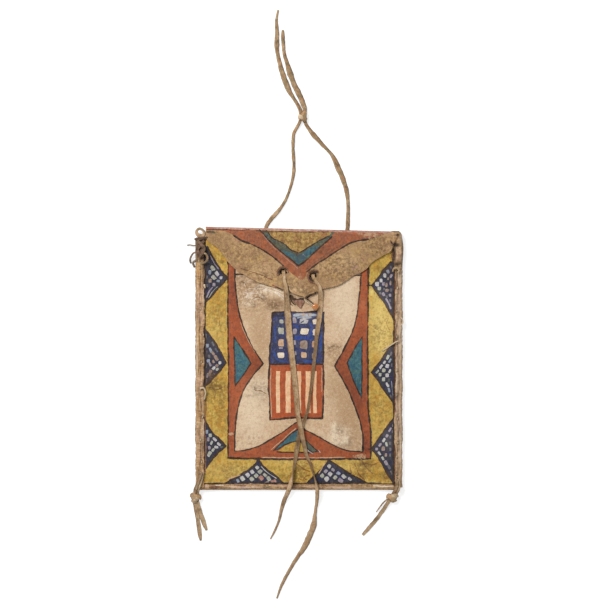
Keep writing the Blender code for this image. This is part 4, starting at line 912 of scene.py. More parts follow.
def sheet_outline():
    """The cut edge of the unrolled sheet: left side up, flap, right side down, mouth."""
    def mouth(x):
        return FOLD_Y - (top_line(x) - MOUTH_INSET)

    corner = left_edge(TOP_Y)
    fold_end = flap_place(corner, top_tangent(corner))[1]
    right_end = flap_place(PANEL_HALF, top_tangent(PANEL_HALF))[1]
    left = [(left_edge(FOLD_Y - v), v) for v in np.arange(mouth(-PANEL_HALF + TOP_NOTCH), 0.0, EDGE_STEP)]
    for v in np.arange(0.0, BOTTOM_ARC + top_tangent(-PANEL_HALF) - FOLD_Y, EDGE_STEP):
        left.append((left_edge(FOLD_Y + v - BOTTOM_ARC) if v > BOTTOM_ARC else -PANEL_HALF, v))
    left += [(corner, fold_end - TOP_ARC * (1 - index / 6)) for index in range(7)]
    edge = [wobble(*flap_place(*point)) for point in FLAP_LEFT + FLAP_RIGHT[-2::-1]]
    right = [(PANEL_HALF, v) for v in np.arange(mouth(PANEL_HALF), right_end, EDGE_STEP)]
    top = [wobble(x, mouth(x)) for x in np.arange(PANEL_HALF - EDGE_STEP, corner + MM, -EDGE_STEP)]
    return left + edge + right[::-1] + top


def flat_holes():
    """The holes as outlines on the sheet: through the panel, the flap and the back."""
    outlines = []
    size = (TIE_HOLE_WIDTH, TIE_HOLE_HEIGHT)
    for index, (x, inset) in enumerate(TIE_HOLES):
        y = top_line(x) - inset
        outlines.append(hole_outline((x, FOLD_Y - y), size, 41.3 + index))
        outlines.append(hole_outline(flap_place(x, y), size, 45.3 + index))
    for index, x in enumerate(HANG_HOLES):
        v = BOTTOM_ARC + top_line(x) - HANG_INSET - FOLD_Y
        outlines.append(hole_outline((x, v), (HANG_HOLE, HANG_HOLE), 51.3 + index))
    return outlines


# Spacing of the sheet's points in millimetres, and in shares of it: their scatter, the step from row to row
# and the distance to a painted line
FRONT_SPACING = 1.5
BACK_SPACING = 3.6
SCATTER = 0.25
ROW_STEP = 0.87
LINE_DISTANCE = 0.45
# The plain stretch of the sheet, which doesn't show in the photo: where it starts and how far before the flap
PLAIN_START = 12.0
PLAIN_END = 8.0


def flat_grid(outline, holes, busy):
    """Places inside the sheet between its painted lines, in millimetres, evenly staggered."""
    rng = random.Random(7)
    near = kdtree.KDTree(len(busy))
    for index, point in enumerate(busy):
        near.insert((point[0], point[1], 0.0), index)
    near.balance()
    low = min(point[1] for point in outline) / MM
    high = max(point[1] for point in outline) / MM
    plain_end = (BOTTOM_ARC + TOP_Y - FOLD_Y) / MM - PLAIN_END
    places = []
    v = low
    row = 0
    while v < high:
        spacing = BACK_SPACING if PLAIN_START < v < plain_end else FRONT_SPACING
        x = -PANEL_HALF / MM + (row % 2) * spacing / 2
        while x < PANEL_HALF / MM:
            place = (x + rng.uniform(-SCATTER, SCATTER) * spacing,
                     v + rng.uniform(-SCATTER, SCATTER) * spacing)
            if near.find((*place, 0.0))[2] > LINE_DISTANCE * spacing:
                places.append(place)
            x += spacing
        v += spacing * ROW_STEP
        row += 1
    places = np.array(places)
    keep = within(places, [(x / MM, v / MM) for x, v in outline])
    for hole in holes:
        keep &= ~within(places, [(x / MM, v / MM) for x, v in hole])
    return [tuple(place) for place in places[keep]]


def soft_values(places, *groups):
    """A soft value at each place, from groups of spots, each with what turns a pixel into such a place."""
    total = np.zeros(len(places))
    for to_place, spots in groups:
        for x, y, width, height, amount in spots:
            x, y = to_place((x, y))
            away = ((places[:, 0] - x) / (width * PIXEL)) ** 2 + ((places[:, 1] - y) / (height * PIXEL)) ** 2
            total += (1.0 - total) * amount * np.exp(-(away ** 1.5))
    return total


def add_object(name, data):
    made = bpy.data.objects.new(name, data)
    bpy.context.scene.collection.objects.link(made)
    return made


def make_mesh(name, points, faces, materials, indices=None, sharp=38.0):
    mesh = bpy.data.meshes.new(name)
    mesh.from_pydata([tuple(point) for point in points], [], [tuple(face) for face in faces])
    for material in materials:
        mesh.materials.append(material)
    if indices is not None:
        mesh.polygons.foreach_set("material_index", np.array(indices, dtype=np.int32))
    mesh.polygons.foreach_set("use_smooth", [True] * len(mesh.polygons))
    mesh.set_sharp_from_angle(angle=math.radians(sharp))
    mesh.update()
    return add_object(name, mesh)


def add_values(piece, **values):
    """Values at a piece's points, for its material to read."""
    for name, numbers in values.items():
        attribute = piece.data.attributes.new(name, "FLOAT", "POINT")
        attribute.data.foreach_set("value", np.array(numbers, dtype=np.float32))


def ring_faces(rings, sides, closed=False):
    """The quads between rings of points that follow one another."""
    faces = []
    for ring in range(rings if closed else rings - 1):
        for step in range(sides):
            a, b = ring * sides + step, ring * sides + (step + 1) % sides
            faces.append((a, b, (b + sides) % (rings * sides), (a + sides) % (rings * sides)))
    return faces


def build_sheet(paints):
    """The folded hide: its unrolled outline, holes and paint as one net of triangles, then thickened."""
    outline = sheet_outline()
    holes = flat_holes()
    shapes = painted_shapes()
    coords, edges = [], []
    for loop in [outline] + holes + [shape for _, shape in shapes]:
        first = len(coords)
        coords += [(x / MM, v / MM) for x, v in loop]
        edges += [(first + index, first + (index + 1) % len(loop)) for index in range(len(loop))]
    coords += flat_grid(outline, holes, coords)
    net = geometry.delaunay_2d_cdt([Vector(point) for point in coords], edges, [], 0, 1e-4, False)
    flat = np.array([tuple(point) for point in net[0]]) * MM
    triangles = np.array([tuple(face) for face in net[2]])
    middle = flat[triangles].mean(axis=1)
    keep = within(middle, outline)
    for hole in holes:
        keep &= ~within(middle, hole)
    triangles, middle = triangles[keep], middle[keep]
    used, triangles = np.unique(triangles, return_inverse=True)
    triangles = triangles.reshape(-1, 3)
    flat = flat[used]
    names = list(paints)
    colours = np.full(len(triangles), names.index("hide"))
    for colour, shape in shapes:
        box = np.array(shape)
        chosen = np.flatnonzero(np.all((middle > box.min(axis=0)) & (middle < box.max(axis=0)), axis=1))
        colours[chosen[within(middle[chosen], shape)]] = names.index(colour)
    outer = np.array([sheet_point(x, v) for x, v in flat])
    first, second, third = (outer[triangles[:, corner]] for corner in range(3))
    side = np.cross(second - first, third - first)
    normals = np.zeros_like(outer)
    for corner in range(3):
        np.add.at(normals, triangles[:, corner], side)
    normals = unit(normals)
    probe = np.argmin(np.abs(flat[:, 0]) + np.abs(flat[:, 1] + 100 * MM))
    if normals[probe, 2] < 0:
        normals = -normals
        triangles = triangles[:, ::-1]
    count = len(outer)
    faces = [tuple(face) for face in triangles] + [tuple(face[::-1] + count) for face in triangles]
    ways = {way: True for a, b, c in triangles for way in ((a, b), (b, c), (c, a))}
    rim = [(start, end) for start, end in ways if (end, start) not in ways]
    faces += [(end, start, start + count, end + count) for start, end in rim]
    indices = list(colours) + [names.index("inside")] * (len(faces) - len(triangles))
    points = np.concatenate([outer, outer - normals * HIDE])
    sheet = make_mesh("rawhide_sheet", points, faces, [paints[name] for name in names], indices)
    for name in FRONT_SPOTS:
        values = soft_values(flat, (on_front, FRONT_SPOTS[name]), (on_flap_sheet, FLAP_SPOTS[name]))
        add_values(sheet, **{name: np.concatenate([values, np.zeros(count)])})
    return sheet


def make_hide(name, main, other, dark, light, tan, tint, glow):
    """Bare rawhide: mottled, with specks, faint cracks, stains and a fine grain."""
    made = Finish(name, 0.6, 0.25)
    patches = made.noise(11 * MM, 4.0, 0.62, 0.3)
    hues = made.noise(5.6 * MM, 4.0, 0.65, 0.3)
    blotches = made.noise(2.8 * MM, 6.0, 0.76, 0.15)
    grain = made.noise(1.0 * MM, 4.0, 0.72)
    dirt = made.value("dirt")
    cracks = made.node("ShaderNodeTexVoronoi", {"feature": "DISTANCE_TO_EDGE"},
                       Vector=made.place, Scale=1.0 / (7 * MM), Randomness=1.0).outputs["Distance"]
    vein = made.math("MULTIPLY", made.ramp(cracks, 0.05, 0.0), made.ramp(patches, 0.45, 0.6))
    colour = made.layers(
        main,
        (other, 1.0, patches, 0.4, 0.6),
        (tint, 0.6, hues, 0.5, 0.64),
        (glow, 0.6, hues, 0.48, 0.34),
        (tan, 1.0, made.value("tan")),
        (light, 0.9, made.value("pale")),
        (dark, made.math("ADD", 0.3, made.math("MULTIPLY", dirt, 0.55)),
         made.total((blotches, 1.0), (dirt, 0.07)), 0.5, 0.64),
        (light, made.math("ADD", 0.35, made.math("MULTIPLY", dirt, 0.3)), blotches, 0.47, 0.34),
        (dark, 0.4, grain, 0.52, 0.68),
        (light, 0.35, grain, 0.47, 0.32),
        (dark, 0.2, vein),
        (STAIN, 1.0, made.stained(blotches)),
    )
    return made.finish(colour, made.total((blotches, 0.65), (grain, 0.35)), 0.45 * MM, 0.65)


# Each paint: main colour, second tone, dark, light and two tints, then patch size, mottling and wear
PAINTS = {
    "yellow": ((194, 160, 76), (174, 134, 58), (118, 84, 40), (226, 200, 122), (156, 136, 58),
        (208, 150, 52), 9, 0.55, 0),
    "mustard": ((178, 146, 84), (158, 124, 70), (98, 70, 40), (206, 172, 112), (150, 84, 60),
        (176, 136, 66), 5, 0.7, 0.02),
    "red": ((160, 85, 52), (146, 76, 45), (88, 48, 36), (190, 114, 78), (174, 84, 44),
        (148, 80, 58), 8, 0.5, -0.02),
    "flap_red": ((154, 92, 60), (140, 86, 59), (88, 56, 44), (190, 126, 96), (172, 90, 52),
        (142, 88, 70), 8, 0.55, 0.02),
    "crest": ((186, 144, 128), (168, 122, 106), (106, 74, 64), (216, 188, 170), (166, 96, 82),
        (160, 122, 120), 5, 0.65, 0.03),
    "brick": ((170, 84, 48), (156, 76, 44), (100, 48, 34), (200, 122, 84), (184, 84, 42),
        (158, 82, 54), 6, 0.45, -0.03),
    "stripe": ((230, 190, 150), (218, 174, 132), (172, 116, 84), (240, 212, 178), (222, 168, 124),
        (232, 196, 150), 6, 0.4, -0.05),
    "teal": ((66, 108, 114), (52, 90, 104), (36, 58, 68), (112, 146, 142), (46, 86, 118),
        (80, 112, 96), 4, 0.65, -0.01),
    "slate": ((76, 86, 80), (94, 100, 80), (46, 46, 46), (138, 134, 106), (72, 90, 98),
        (96, 96, 66), 4, 0.7, 0.03),
    "blue": ((54, 58, 90), (66, 68, 92), (34, 32, 46), (116, 116, 138), (46, 54, 122),
        (50, 54, 76), 5, 0.6, -0.02),
    "royal": ((44, 66, 134), (56, 78, 130), (36, 40, 74), (104, 116, 154), (36, 46, 156),
        (58, 86, 124), 5, 0.6, -0.02),
    "navy": ((48, 48, 62), (56, 54, 62), (34, 28, 30), (98, 92, 96), (46, 46, 92), (56, 60, 66), 4, 0.6, 0),
    "dusk": ((108, 104, 106), (94, 90, 94), (62, 58, 60), (142, 136, 136), (92, 106, 124),
        (120, 106, 98), 2.5, 0.6, -0.03),
    "cell": ((190, 186, 182), (174, 168, 166), (118, 110, 110), (216, 212, 206), (182, 176, 184),
        (190, 190, 176), 3, 0.45, -0.06),
    "sky": ((148, 156, 166), (130, 138, 150), (84, 88, 100), (182, 188, 194), (146, 148, 170),
        (130, 146, 160), 3, 0.5, -0.06),
    "lilac": ((158, 148, 154), (142, 130, 138), (94, 86, 94), (190, 182, 188), (152, 136, 150),
        (164, 148, 144), 3, 0.5, -0.06),
    "clay": ((156, 136, 122), (138, 116, 102), (96, 76, 66), (188, 166, 150), (158, 124, 116),
        (146, 132, 112), 3, 0.5, -0.05),
    "straw": ((172, 172, 158), (156, 154, 140), (112, 106, 94), (204, 204, 190), (172, 180, 166),
        (182, 176, 154), 3, 0.5, -0.06),
    "white": ((226, 212, 192), (214, 196, 172), (168, 140, 112), (238, 228, 212), (222, 200, 178),
        (220, 210, 192), 3, 0.5, 0),
    "bare": ((200, 166, 134), (186, 148, 118), (140, 102, 78), (222, 196, 166), (190, 150, 124),
        (206, 172, 132), 4, 0.45, 0),
    "line": ((52, 40, 34), (70, 52, 42), (32, 24, 22), (110, 86, 68), (62, 46, 42), (58, 48, 38), 4, 0.55, 0),
    "crack": ((150, 116, 74), (134, 102, 62), (98, 70, 42), (172, 136, 88), (138, 98, 60),
        (146, 112, 60), 3, 0.5, 0),
    "rust": ((150, 104, 48), (134, 88, 44), (96, 62, 36), (178, 134, 66), (154, 98, 48),
        (142, 106, 52), 3, 0.5, 0),
    "umber": ((132, 90, 64), (112, 76, 54), (70, 46, 34), (176, 134, 102), (142, 86, 68),
        (128, 94, 62), 3, 0.6, 0),
}


def make_paints():
    paints = {
        "hide": make_hide("rawhide_bare", (174, 139, 96), (155, 124, 87), (102, 74, 46), (208, 175, 132),
                          (142, 108, 72), (184, 136, 102), (188, 148, 84)),
        "inside": make_hide("rawhide_inside", (184, 156, 120), (170, 140, 104), (126, 96, 68),
                            (210, 186, 152), (150, 118, 84), (174, 146, 106), (190, 158, 112)),
        "cream": make_hide("rawhide_scraped", (206, 178, 146), (196, 166, 132), (138, 106, 78),
                           (230, 210, 182), (176, 142, 106), (206, 168, 134), (206, 176, 130)),
    }
    for name, values in PAINTS.items():
        paints[name] = make_paint("paint_" + name, *values)
    return paints


# ---------------------------------------------------------------- thongs

def frames_along(line, closed=False):
    """A side and an up direction at each point, carried along the line without turning about it."""
    line = np.array(line)
    if closed:
        run = np.roll(line, -1, axis=0) - np.roll(line, 1, axis=0)
    else:
        run = np.gradient(line, axis=0)
    run = unit(run)
    sides = [unit(np.cross(run[0], UP))]
    for way in run[1:]:
        sides.append(unit(sides[-1] - way * sides[-1].dot(way)))
    sides = np.array(sides)
    ups = np.cross(sides, run)
    if closed:
        last = sides[-1] - run[0] * sides[-1].dot(run[0])
        gap = math.atan2(np.dot(np.cross(last, sides[0]), run[0]), np.dot(last, sides[0]))
        angles = gap * np.arange(len(line))[:, None] / len(line)
        sides, ups = (sides * np.cos(angles) - ups * np.sin(angles),
                      sides * np.sin(angles) + ups * np.cos(angles))
    return sides, ups


# A strip of hide: its corners all round, how square its section is, and how unsteady its two edges are
STRIP_SIDES = 14
STRIP_SQUARENESS = 0.7
STRIP_RAGGED = 0.16


def strip(name, line, widths, twists, thick, material, seed, closed=False, cup=0.12, normals=None):
    """A cut strip of hide swept along a line, with a width and a twist at each of its points."""
    if normals is None:
        sides, ups = frames_along(line, closed)
    else:
        line = np.array(line)
        run = np.roll(line, -1, axis=0) - np.roll(line, 1, axis=0)
        sides = unit(np.cross(run, normals))
        ups = unit(np.cross(sides, run))
    points, across, along, face_side = [], [], [], []
    travelled = 0.0
    for index, centre in enumerate(line):
        if index:
            travelled += np.linalg.norm(centre - line[index - 1])
        share = index / max(1, len(line) - 1)
        angle = math.radians(twists[index])
        side = sides[index] * math.cos(angle) + ups[index] * math.sin(angle)
        up = ups[index] * math.cos(angle) - sides[index] * math.sin(angle)
        half = widths[index] / 2
        body = thick / 2 * (1.0 + 0.3 * wave(travelled / (6 * MM), seed, 2.2))
        if not closed:
            body *= min(1.0, 0.45 + 14 * share, 0.45 + 14 * (1.0 - share))
        left, right = (half * (1.0 + STRIP_RAGGED * wave(travelled / (3.5 * MM), seed, edge))
                       for edge in (4.4, 8.8))
        for theta in circle(STRIP_SIDES):
            x, y = power(math.cos(theta), STRIP_SQUARENESS), power(math.sin(theta), STRIP_SQUARENESS)
            lift = body * (y + 0.1 * wave(travelled / (2.2 * MM), 3 * x, seed)) + cup * half * (x * x - 0.5)
            point = centre + side * (left if x < 0 else right) * x + up * lift
            point[2] = max(point[2], FLOOR_SKIN)
            points.append(point)
            across.append(x)
            along.append(travelled)
            face_side.append(0.5 + 0.5 * y)
    faces = ring_faces(len(line), STRIP_SIDES, closed)
    if not closed:
        faces.append(tuple(range(STRIP_SIDES))[::-1])
        faces.append(tuple(range(len(points) - STRIP_SIDES, len(points))))
    piece = make_mesh(name, points, faces, [material], sharp=60.0)
    add_values(piece, across=across, along=along, face_side=face_side)
    return piece


def make_thong(name, grain_side, flesh_side, dark, light, tints=((146, 130, 92), (186, 144, 118))):
    """Smoke-tanned thong: two different faces, dark cut edges and fibres along it, with one side of the strip
    painted darker as shade and the other lighter as a highlight.
    """
    made = Finish(name, 0.8, 0.25)
    along, across, face = made.value("along"), made.value("across"), made.value("face_side")
    fibres = made.noise(1 / 0.55, 4.0, 0.7, 0.3, made.joined((along, 1 / MM), (across, 6.0), (face, 4.0)))
    patches = made.noise(6 * MM, 4.0, 0.65, 0.4)
    grain = made.noise(0.6 * MM, 2.0, 0.7)
    hues = made.noise(4.4 * MM, 3.0, 0.6, 0.3)
    # Painted shade on one side of the strip and a painted highlight on the other, by how far across it a
    # point lies.
    side = made.total((across, 1.0), (hues, 0.8))
    colour = made.layers(
        flesh_side,
        (grain_side, 1.0, face, 0.3, 0.7),
        (tints[0], 0.55, hues, 0.52, 0.62),
        (tints[1], 0.55, hues, 0.46, 0.36),
        (dark, 0.6, patches, 0.5, 0.66),
        (light, 0.55, patches, 0.48, 0.34),
        (dark, 0.5, fibres, 0.52, 0.68),
        (light, 0.6, fibres, 0.47, 0.32),
        # painted shade and painted highlight across the strip
        (dark, 0.45, side, 0.75, 1.3),
        (light, 0.35, side, 0.1, -0.4),
        (dark, 0.6, made.math("ABSOLUTE", across), 0.7, 1.0),
        (dark, 0.28, along, 0.205, 0.235),
    )
    return made.finish(colour, made.total((fibres, 0.7), (grain, 0.3)), 0.4 * MM, 0.7)


def keyed(line, keys, column):
    """A value along a line from keys by the share of its way."""
    shares = np.linspace(0.0, 1.0, len(line))
    return np.interp(shares, [key[0] for key in keys], [key[column] for key in keys])


def soften(values, reach):
    """A running mean, which rounds the corners of a run of values."""
    padded = np.concatenate([[values[0]] * reach, values, [values[-1]] * reach])
    return np.convolve(padded, np.ones(2 * reach + 1) / (2 * reach + 1), "valid")


def lay_strip(route, keys, thick, slope=0.35, over=None, start=None):
    """A strip laid along a route in plan: its centre line, widths and twists."""
    plan = smooth_curve([(x * MM, y * MM) for x, y in route], STEP)
    widths = soften(keyed(plan, keys, 1) * MM, 3)
    twists = soften(keyed(plan, keys, 2), 4)
    need = []
    for index, (x, y) in enumerate(plan):
        turn = math.radians(twists[index])
        half = abs(widths[index] / 2 * math.sin(turn)) + abs(thick / 2 * math.cos(turn)) + 0.12 * MM
        height = resting_height(x, y) + half
        if over is not None:
            for other, reach, rise in over:
                beside = math.hypot(other[0] - x, other[1] - y)
                room = reach + widths[index] / 2
                if beside < room:
                    share = math.sqrt(1.0 - (beside / room) ** 2)
                    height = max(height, other[2] + (rise + half) * share)
        need.append(height)
    need = np.array(need)
    places = np.arange(len(plan)) * STEP
    bridged = np.array([np.max(need - slope * np.maximum(0.0, np.abs(places - place) - 2 * STEP))
                        for place in places])
    bridged = soften(bridged, 2)
    line = [np.array((x, y, z)) for (x, y), z in zip(plan, bridged)]
    return line, widths, twists


# Widths in millimetres and twists in degrees along each strip, by the share of its way
TIE_KEYS = (
    ((0, 3.9, 8), (0.02, 4.1, 12), (0.045, 5.6, 24), (0.07, 6, 30), (0.1, 6.4, 10), (0.16, 6.4, 4),
     (0.28, 6, 16), (0.4, 5.6, 28), (0.46, 5.4, 30), (0.52, 4.9, 40), (0.56, 4.8, 62), (0.6, 4.6, 74),
     (0.645, 4.8, 142), (0.69, 3.3, 150), (0.71, 3, 154), (0.73, 4.2, 160), (0.75, 5.8, 168), (0.79, 6, 176),
     (0.825, 5.7, 180), (0.85, 4.1, 180), (0.89, 3.6, 182), (0.955, 3.2, 188), (0.975, 2.5, 190),
     (1, 1.5, 190)),
    ((0, 3.9, 8), (0.03, 4.2, 10), (0.06, 5.2, 4), (0.09, 5.3, -4), (0.15, 5.5, 0), (0.24, 5, 34),
     (0.35, 5, 34), (0.42, 4.8, 48), (0.48, 4.6, 42), (0.54, 5, 38), (0.56, 6.3, 4), (0.6, 5.4, 38),
     (0.63, 5.5, 12), (0.67, 5.2, 24), (0.74, 4.6, 84), (0.78, 4.8, 164), (0.81, 4.5, 180), (0.86, 4.4, 184),
     (0.885, 3.3, 190), (0.91, 2.8, 196), (0.935, 2.5, 196), (0.96, 2.2, 190), (1, 1.4, 184)),
)
HANG_KEYS = (
    ((0, 3.4, 0), (0.19, 4.2, 16), (0.25, 4.4, 24), (0.32, 3.4, 30), (0.43, 2.8, 24), (0.52, 3, 10),
     (0.59, 3.6, 10), (0.64, 3, 20), (0.69, 3.9, 24), (0.75, 3.3, 30), (0.8, 3.9, 30), (0.85, 3.4, 30),
     (1, 3.4, 30)),
    ((0, 4, 0), (0.18, 4, 0), (0.24, 3.5, 10), (0.33, 3.8, 16), (0.38, 4.7, 10), (0.43, 4.5, 0),
     (0.5, 5.1, -6), (0.54, 5.5, -10), (0.6, 5, -4), (0.65, 3.8, 14), (0.71, 3.2, 24), (0.78, 4.3, 20),
     (0.84, 5.2, 20), (0.9, 3.8, 24), (1, 3.4, 30)),
)
HANG_TAIL_KEYS = (
    ((0, 3.6, 0), (0.07, 3.8, 10), (0.16, 3.3, 16), (0.23, 4.1, 20), (0.3, 5.7, 16), (0.37, 5.6, 10),
     (0.44, 5.1, 6), (0.5, 4.6, 0), (0.6, 3.8, -10), (0.64, 3.9, -6), (0.69, 5, 0), (0.75, 4.4, 6),
     (0.81, 4, 10), (0.88, 3.2, 10), (0.94, 2.4, 10), (1, 1.9, 6)),
    ((0, 3.4, 0), (0.1, 4.4, -6), (0.19, 5.1, 0), (0.27, 5.7, 6), (0.36, 5.5, 10), (0.44, 5.2, 14),
     (0.52, 6.1, 12), (0.6, 4.4, 16), (0.68, 3.8, 20), (0.76, 3.3, 16), (0.84, 3.7, 10), (0.92, 4, 8),
     (0.97, 3, 4), (1, 2.2, 0)),
)
THICK = 1.3 * MM
# A knot: points along each turn, its strip in millimetres, and how far a turn's middle is off the core's
KNOT_STEPS = 72
KNOT_STRIP = 4.5
KNOT_THICK = 1.4 * MM
KNOT_OFF = 0.34
# The way on which a tail comes down from its knot
TAIL_DROP = 20 * MM
# The corner loop: its middle from the corner of the flap and of the binding, and its radius in millimetres
LOOP_INSET = 4.9 * MM
LOOP_REACH = 3.5
SIDE_NAMES = ("left", "right")


# ---------------------------------------------------------------- stage, camera and light

def add_stage():
    reach, low = 3.0, -0.02 * MM
    corners = [(x * reach, y * reach, low) for x, y in ((-1, -1), (1, -1), (1, 1), (-1, 1))]
    material = bpy.data.materials.new("floor_white")
    material.use_nodes = True
    made = Nodes(material.node_tree)
    made.tree.nodes.clear()
    path = made.node("ShaderNodeLightPath")
    seen = made.math("MAXIMUM", path.outputs["Is Camera Ray"], path.outputs["Is Glossy Ray"])
    lit = made.node("ShaderNodeEmission", Strength=made.math("MULTIPLY", seen, 0.7))
    half = made.node("ShaderNodeMixShader", Fac=seen)
    for socket, grey in ((half.inputs[1], 0.8), (half.inputs[2], 0.45)):
        made.feed(socket, made.node("ShaderNodeBsdfDiffuse", Color=(grey, grey, grey, 1.0)).outputs[0])
    add = made.node("ShaderNodeAddShader")
    made.feed(add.inputs[0], half.outputs[0])
    made.feed(add.inputs[1], lit.outputs[0])
    made.node("ShaderNodeOutputMaterial", Surface=add.outputs[0])
    floor = make_mesh("floor", corners, [(0, 1, 2, 3)], [material])


def add_camera():
    data = bpy.data.cameras.new("camera")
    data.sensor_width = SENSOR
    data.lens = SENSOR * (CAMERA_HEIGHT - CAMERA_AIM_HEIGHT) / VIEW_WIDTH
    data.clip_start = 0.05
    data.clip_end = 20.0
    camera = add_object("camera", data)
    camera.location = (VIEW_CENTRE[0], VIEW_CENTRE[1], CAMERA_HEIGHT)
    bpy.context.scene.camera = camera


def add_area(name, place, size, energy):
    data = bpy.data.lights.new(name, "AREA")
    data.shape = "DISK"
    data.size = size
    data.energy = energy
    lamp = add_object(name, data)
    lamp.location = place
    lamp.rotation_euler = (Vector(LIGHT_AIM) - Vector(place)).to_track_quat("-Z", "Y").to_euler()


def add_light():
    world = bpy.data.worlds.new("studio")
    world.use_nodes = True
    made = Nodes(world.node_tree)
    made.tree.nodes.clear()
    seen = made.node("ShaderNodeLightPath").outputs["Is Camera Ray"]
    strength = made.node("ShaderNodeMapRange", Value=seen, To_Min=0.46, To_Max=1.0).outputs["Result"]
    sky = made.node("ShaderNodeBackground", Color=(1.0, 1.0, 1.0, 1.0), Strength=strength)
    made.node("ShaderNodeOutputWorld", Surface=sky.outputs[0])
    bpy.context.scene.world = world
    add_area("key", (-0.75, 0.8, 1.25), 0.8, 24.0)
    bpy.context.scene.view_settings.view_transform = "Standard"


# ---------------------------------------------------------------- side bindings

# Stitches in pixels: place along the binding, distance in from its outer edge and length along it
STITCHES = (
    ((268, 5, 2.6), (285.7, 8.6, 2.2), (309, 5.2, 2.4), (335, 8.3, 2.4), (362, 6.2, 2.2), (389, 6, 3.2),
     (417, 7.4, 2.4), (440, 5.4, 2.2), (462, 6.6, 2.4)),
    ((262, 7.4, 2.2), (288, 5, 2.4), (311, 6, 2.2), (337, 6.6, 2.4), (343.5, 6.6, 1.6), (370.6, 8.2, 2.4),
     (395, 5.8, 2.4), (419, 5, 2.2), (443, 4.8, 2.4), (457, 5.6, 2.4), (474, 6, 2)),
)
# How far the hide is drawn in round a stitch's hole
STITCH_DIP = 0.9 * MM
# The hide's way round the edge and across the tab in millimetres, which its streaks follow
BINDING_AROUND = 26.0
TAB_AROUND = 14.0
# The net of a binding: its steps round the edge, the share of them on each flat lip, and its rows
BINDING_STEPS = 48
BINDING_FLAT = 0.14
BINDING_ROW = 0.8 * MM
# How far the right binding's front lip is drawn out, and where and how much it comes in again
LIP_DRAW = 1.7 * MM
LIP_WAVE = 1.2 * MM
LIP_WAVE_Y = -68 * MM
# Marks on the bindings by kind: x, y, half-width and half-height in pixels, and how strong
BINDING_MARKS = {
    # Soil and dark patches, and painted shade in the creases, along the outer edges and in the slit and hole
    # by the right tab
    "soil": (
        (201, 244, 8, 9, 0.85), (202, 258.6, 2.6, 2.2, 0.95), (197, 254, 3, 7, 0.6),
        (203.2, 272, 0.9, 15, 0.7), (202.4, 352, 1.2, 15, 0.55), (204, 384, 1.6, 5, 0.7),
        (202.6, 446, 1.2, 10, 0.5), (398, 264, 4, 4, 0.6), (397.2, 273, 1.3, 8, 0.6),
        (397.6, 300, 0.9, 14, 0.5), (397, 338, 2.4, 4, 0.8), (398.6, 372, 0.8, 22, 0.5),
        (397, 397, 1.6, 4, 0.7), (399, 429, 1.6, 3, 0.5), (398, 470, 0.9, 11, 0.5),
        (397.6, 235.2, 1.8, 1.3, 1), (396.2, 245.4, 4.2, 2, 1), (394.1, 252, 0.8, 5.2, 1),
        (393.6, 259.6, 1.5, 2.8, 0.9), (395.1, 265.2, 0.8, 0.9, 1), (397.4, 265, 0.8, 0.9, 1),
        (400.1, 263.6, 0.8, 0.9, 1), (394.7, 254.5, 1.2, 7.5, 1), (394.4, 244.8, 3.4, 2.6, 1),
        (396.8, 264.2, 3.2, 1.3, 0.9), (402.6, 258, 0.8, 24, 0.6), (402.2, 380, 0.7, 104, 0.35),
        (195.7, 320, 0.7, 60, 0.4), (195.4, 420, 0.7, 60, 0.4), (391.6, 240, 1, 5, 0.6),
        (396, 231.8, 6, 0.8, 0.7),
    ),
    "gold": (
        (199.5, 269, 4, 9, 0.85), (198.5, 338, 3, 15, 0.7), (199, 410, 4, 12, 0.5), (198.6, 462, 4, 8, 0.5),
        (400, 318, 4, 9, 0.8), (398, 268, 3, 6, 0.7), (399.6, 352, 3, 16, 0.7), (400.6, 392, 3, 16, 0.7),
        (398, 445, 3, 8, 0.7), (200, 284, 4, 9, 0.6), (200, 366, 3, 9, 0.6), (399, 467, 3, 9, 0.5),
        (396, 240.6, 5, 3, 0.5),
    ),
    "blush": (
        (200, 297, 5, 15, 0.7), (200, 317, 4, 8, 0.6), (200, 381, 4, 7, 0.8), (199, 436, 4, 10, 0.6),
        (399.5, 294, 3, 17, 0.7), (399, 308, 3, 5, 1), (397, 370, 1.4, 26, 0.9), (400, 432, 3, 8, 0.8),
        (200, 455, 3, 6, 0.6), (399, 416, 3, 12, 0.6), (398, 254.6, 3.2, 6.5, 0.9),
        (399.5, 380, 5, 110, 0.3),
    ),
    # Rubbed pale patches, and painted highlights along the outer roll and the lips
    "rubbed_and_highlight": (
        (204, 294, 0.9, 14, 0.7), (197.2, 352, 1, 22, 0.6), (203.8, 424, 0.9, 18, 0.6),
        (400, 276, 2, 8, 0.6), (400.4, 337, 1.6, 18, 0.7), (396.6, 376, 0.8, 18, 0.8),
        (400.4, 447, 1.6, 17, 0.6), (401, 237, 1.4, 5, 0.5), (399.5, 380, 5, 110, 0.4),
    ),
}


def stitch_places(side):
    """Each stitch on a binding: its place in plan and half its length."""
    places = []
    for y, inset, length in STITCHES[0 if side < 0 else 1]:
        x = side * (BINDING_OUTER_X - (inset if side < 0 else min(inset, 5.8)) * PIXEL)
        places.append((x, (PIXEL_Y - y) * PIXEL, length * PIXEL / 2))
    return places


def creases(side, y):
    """Where two lengthwise creases run on a binding's front, and how deep the second one is."""
    return (0.155 + 0.07 * ripple(y, side, 14 * MM, 65.3), 0.25 + 0.1 * ripple(y, side, 17 * MM, 66.9),
            smooth(-0.15, 0.15, ripple(y, side, 13 * MM, 68.1)))


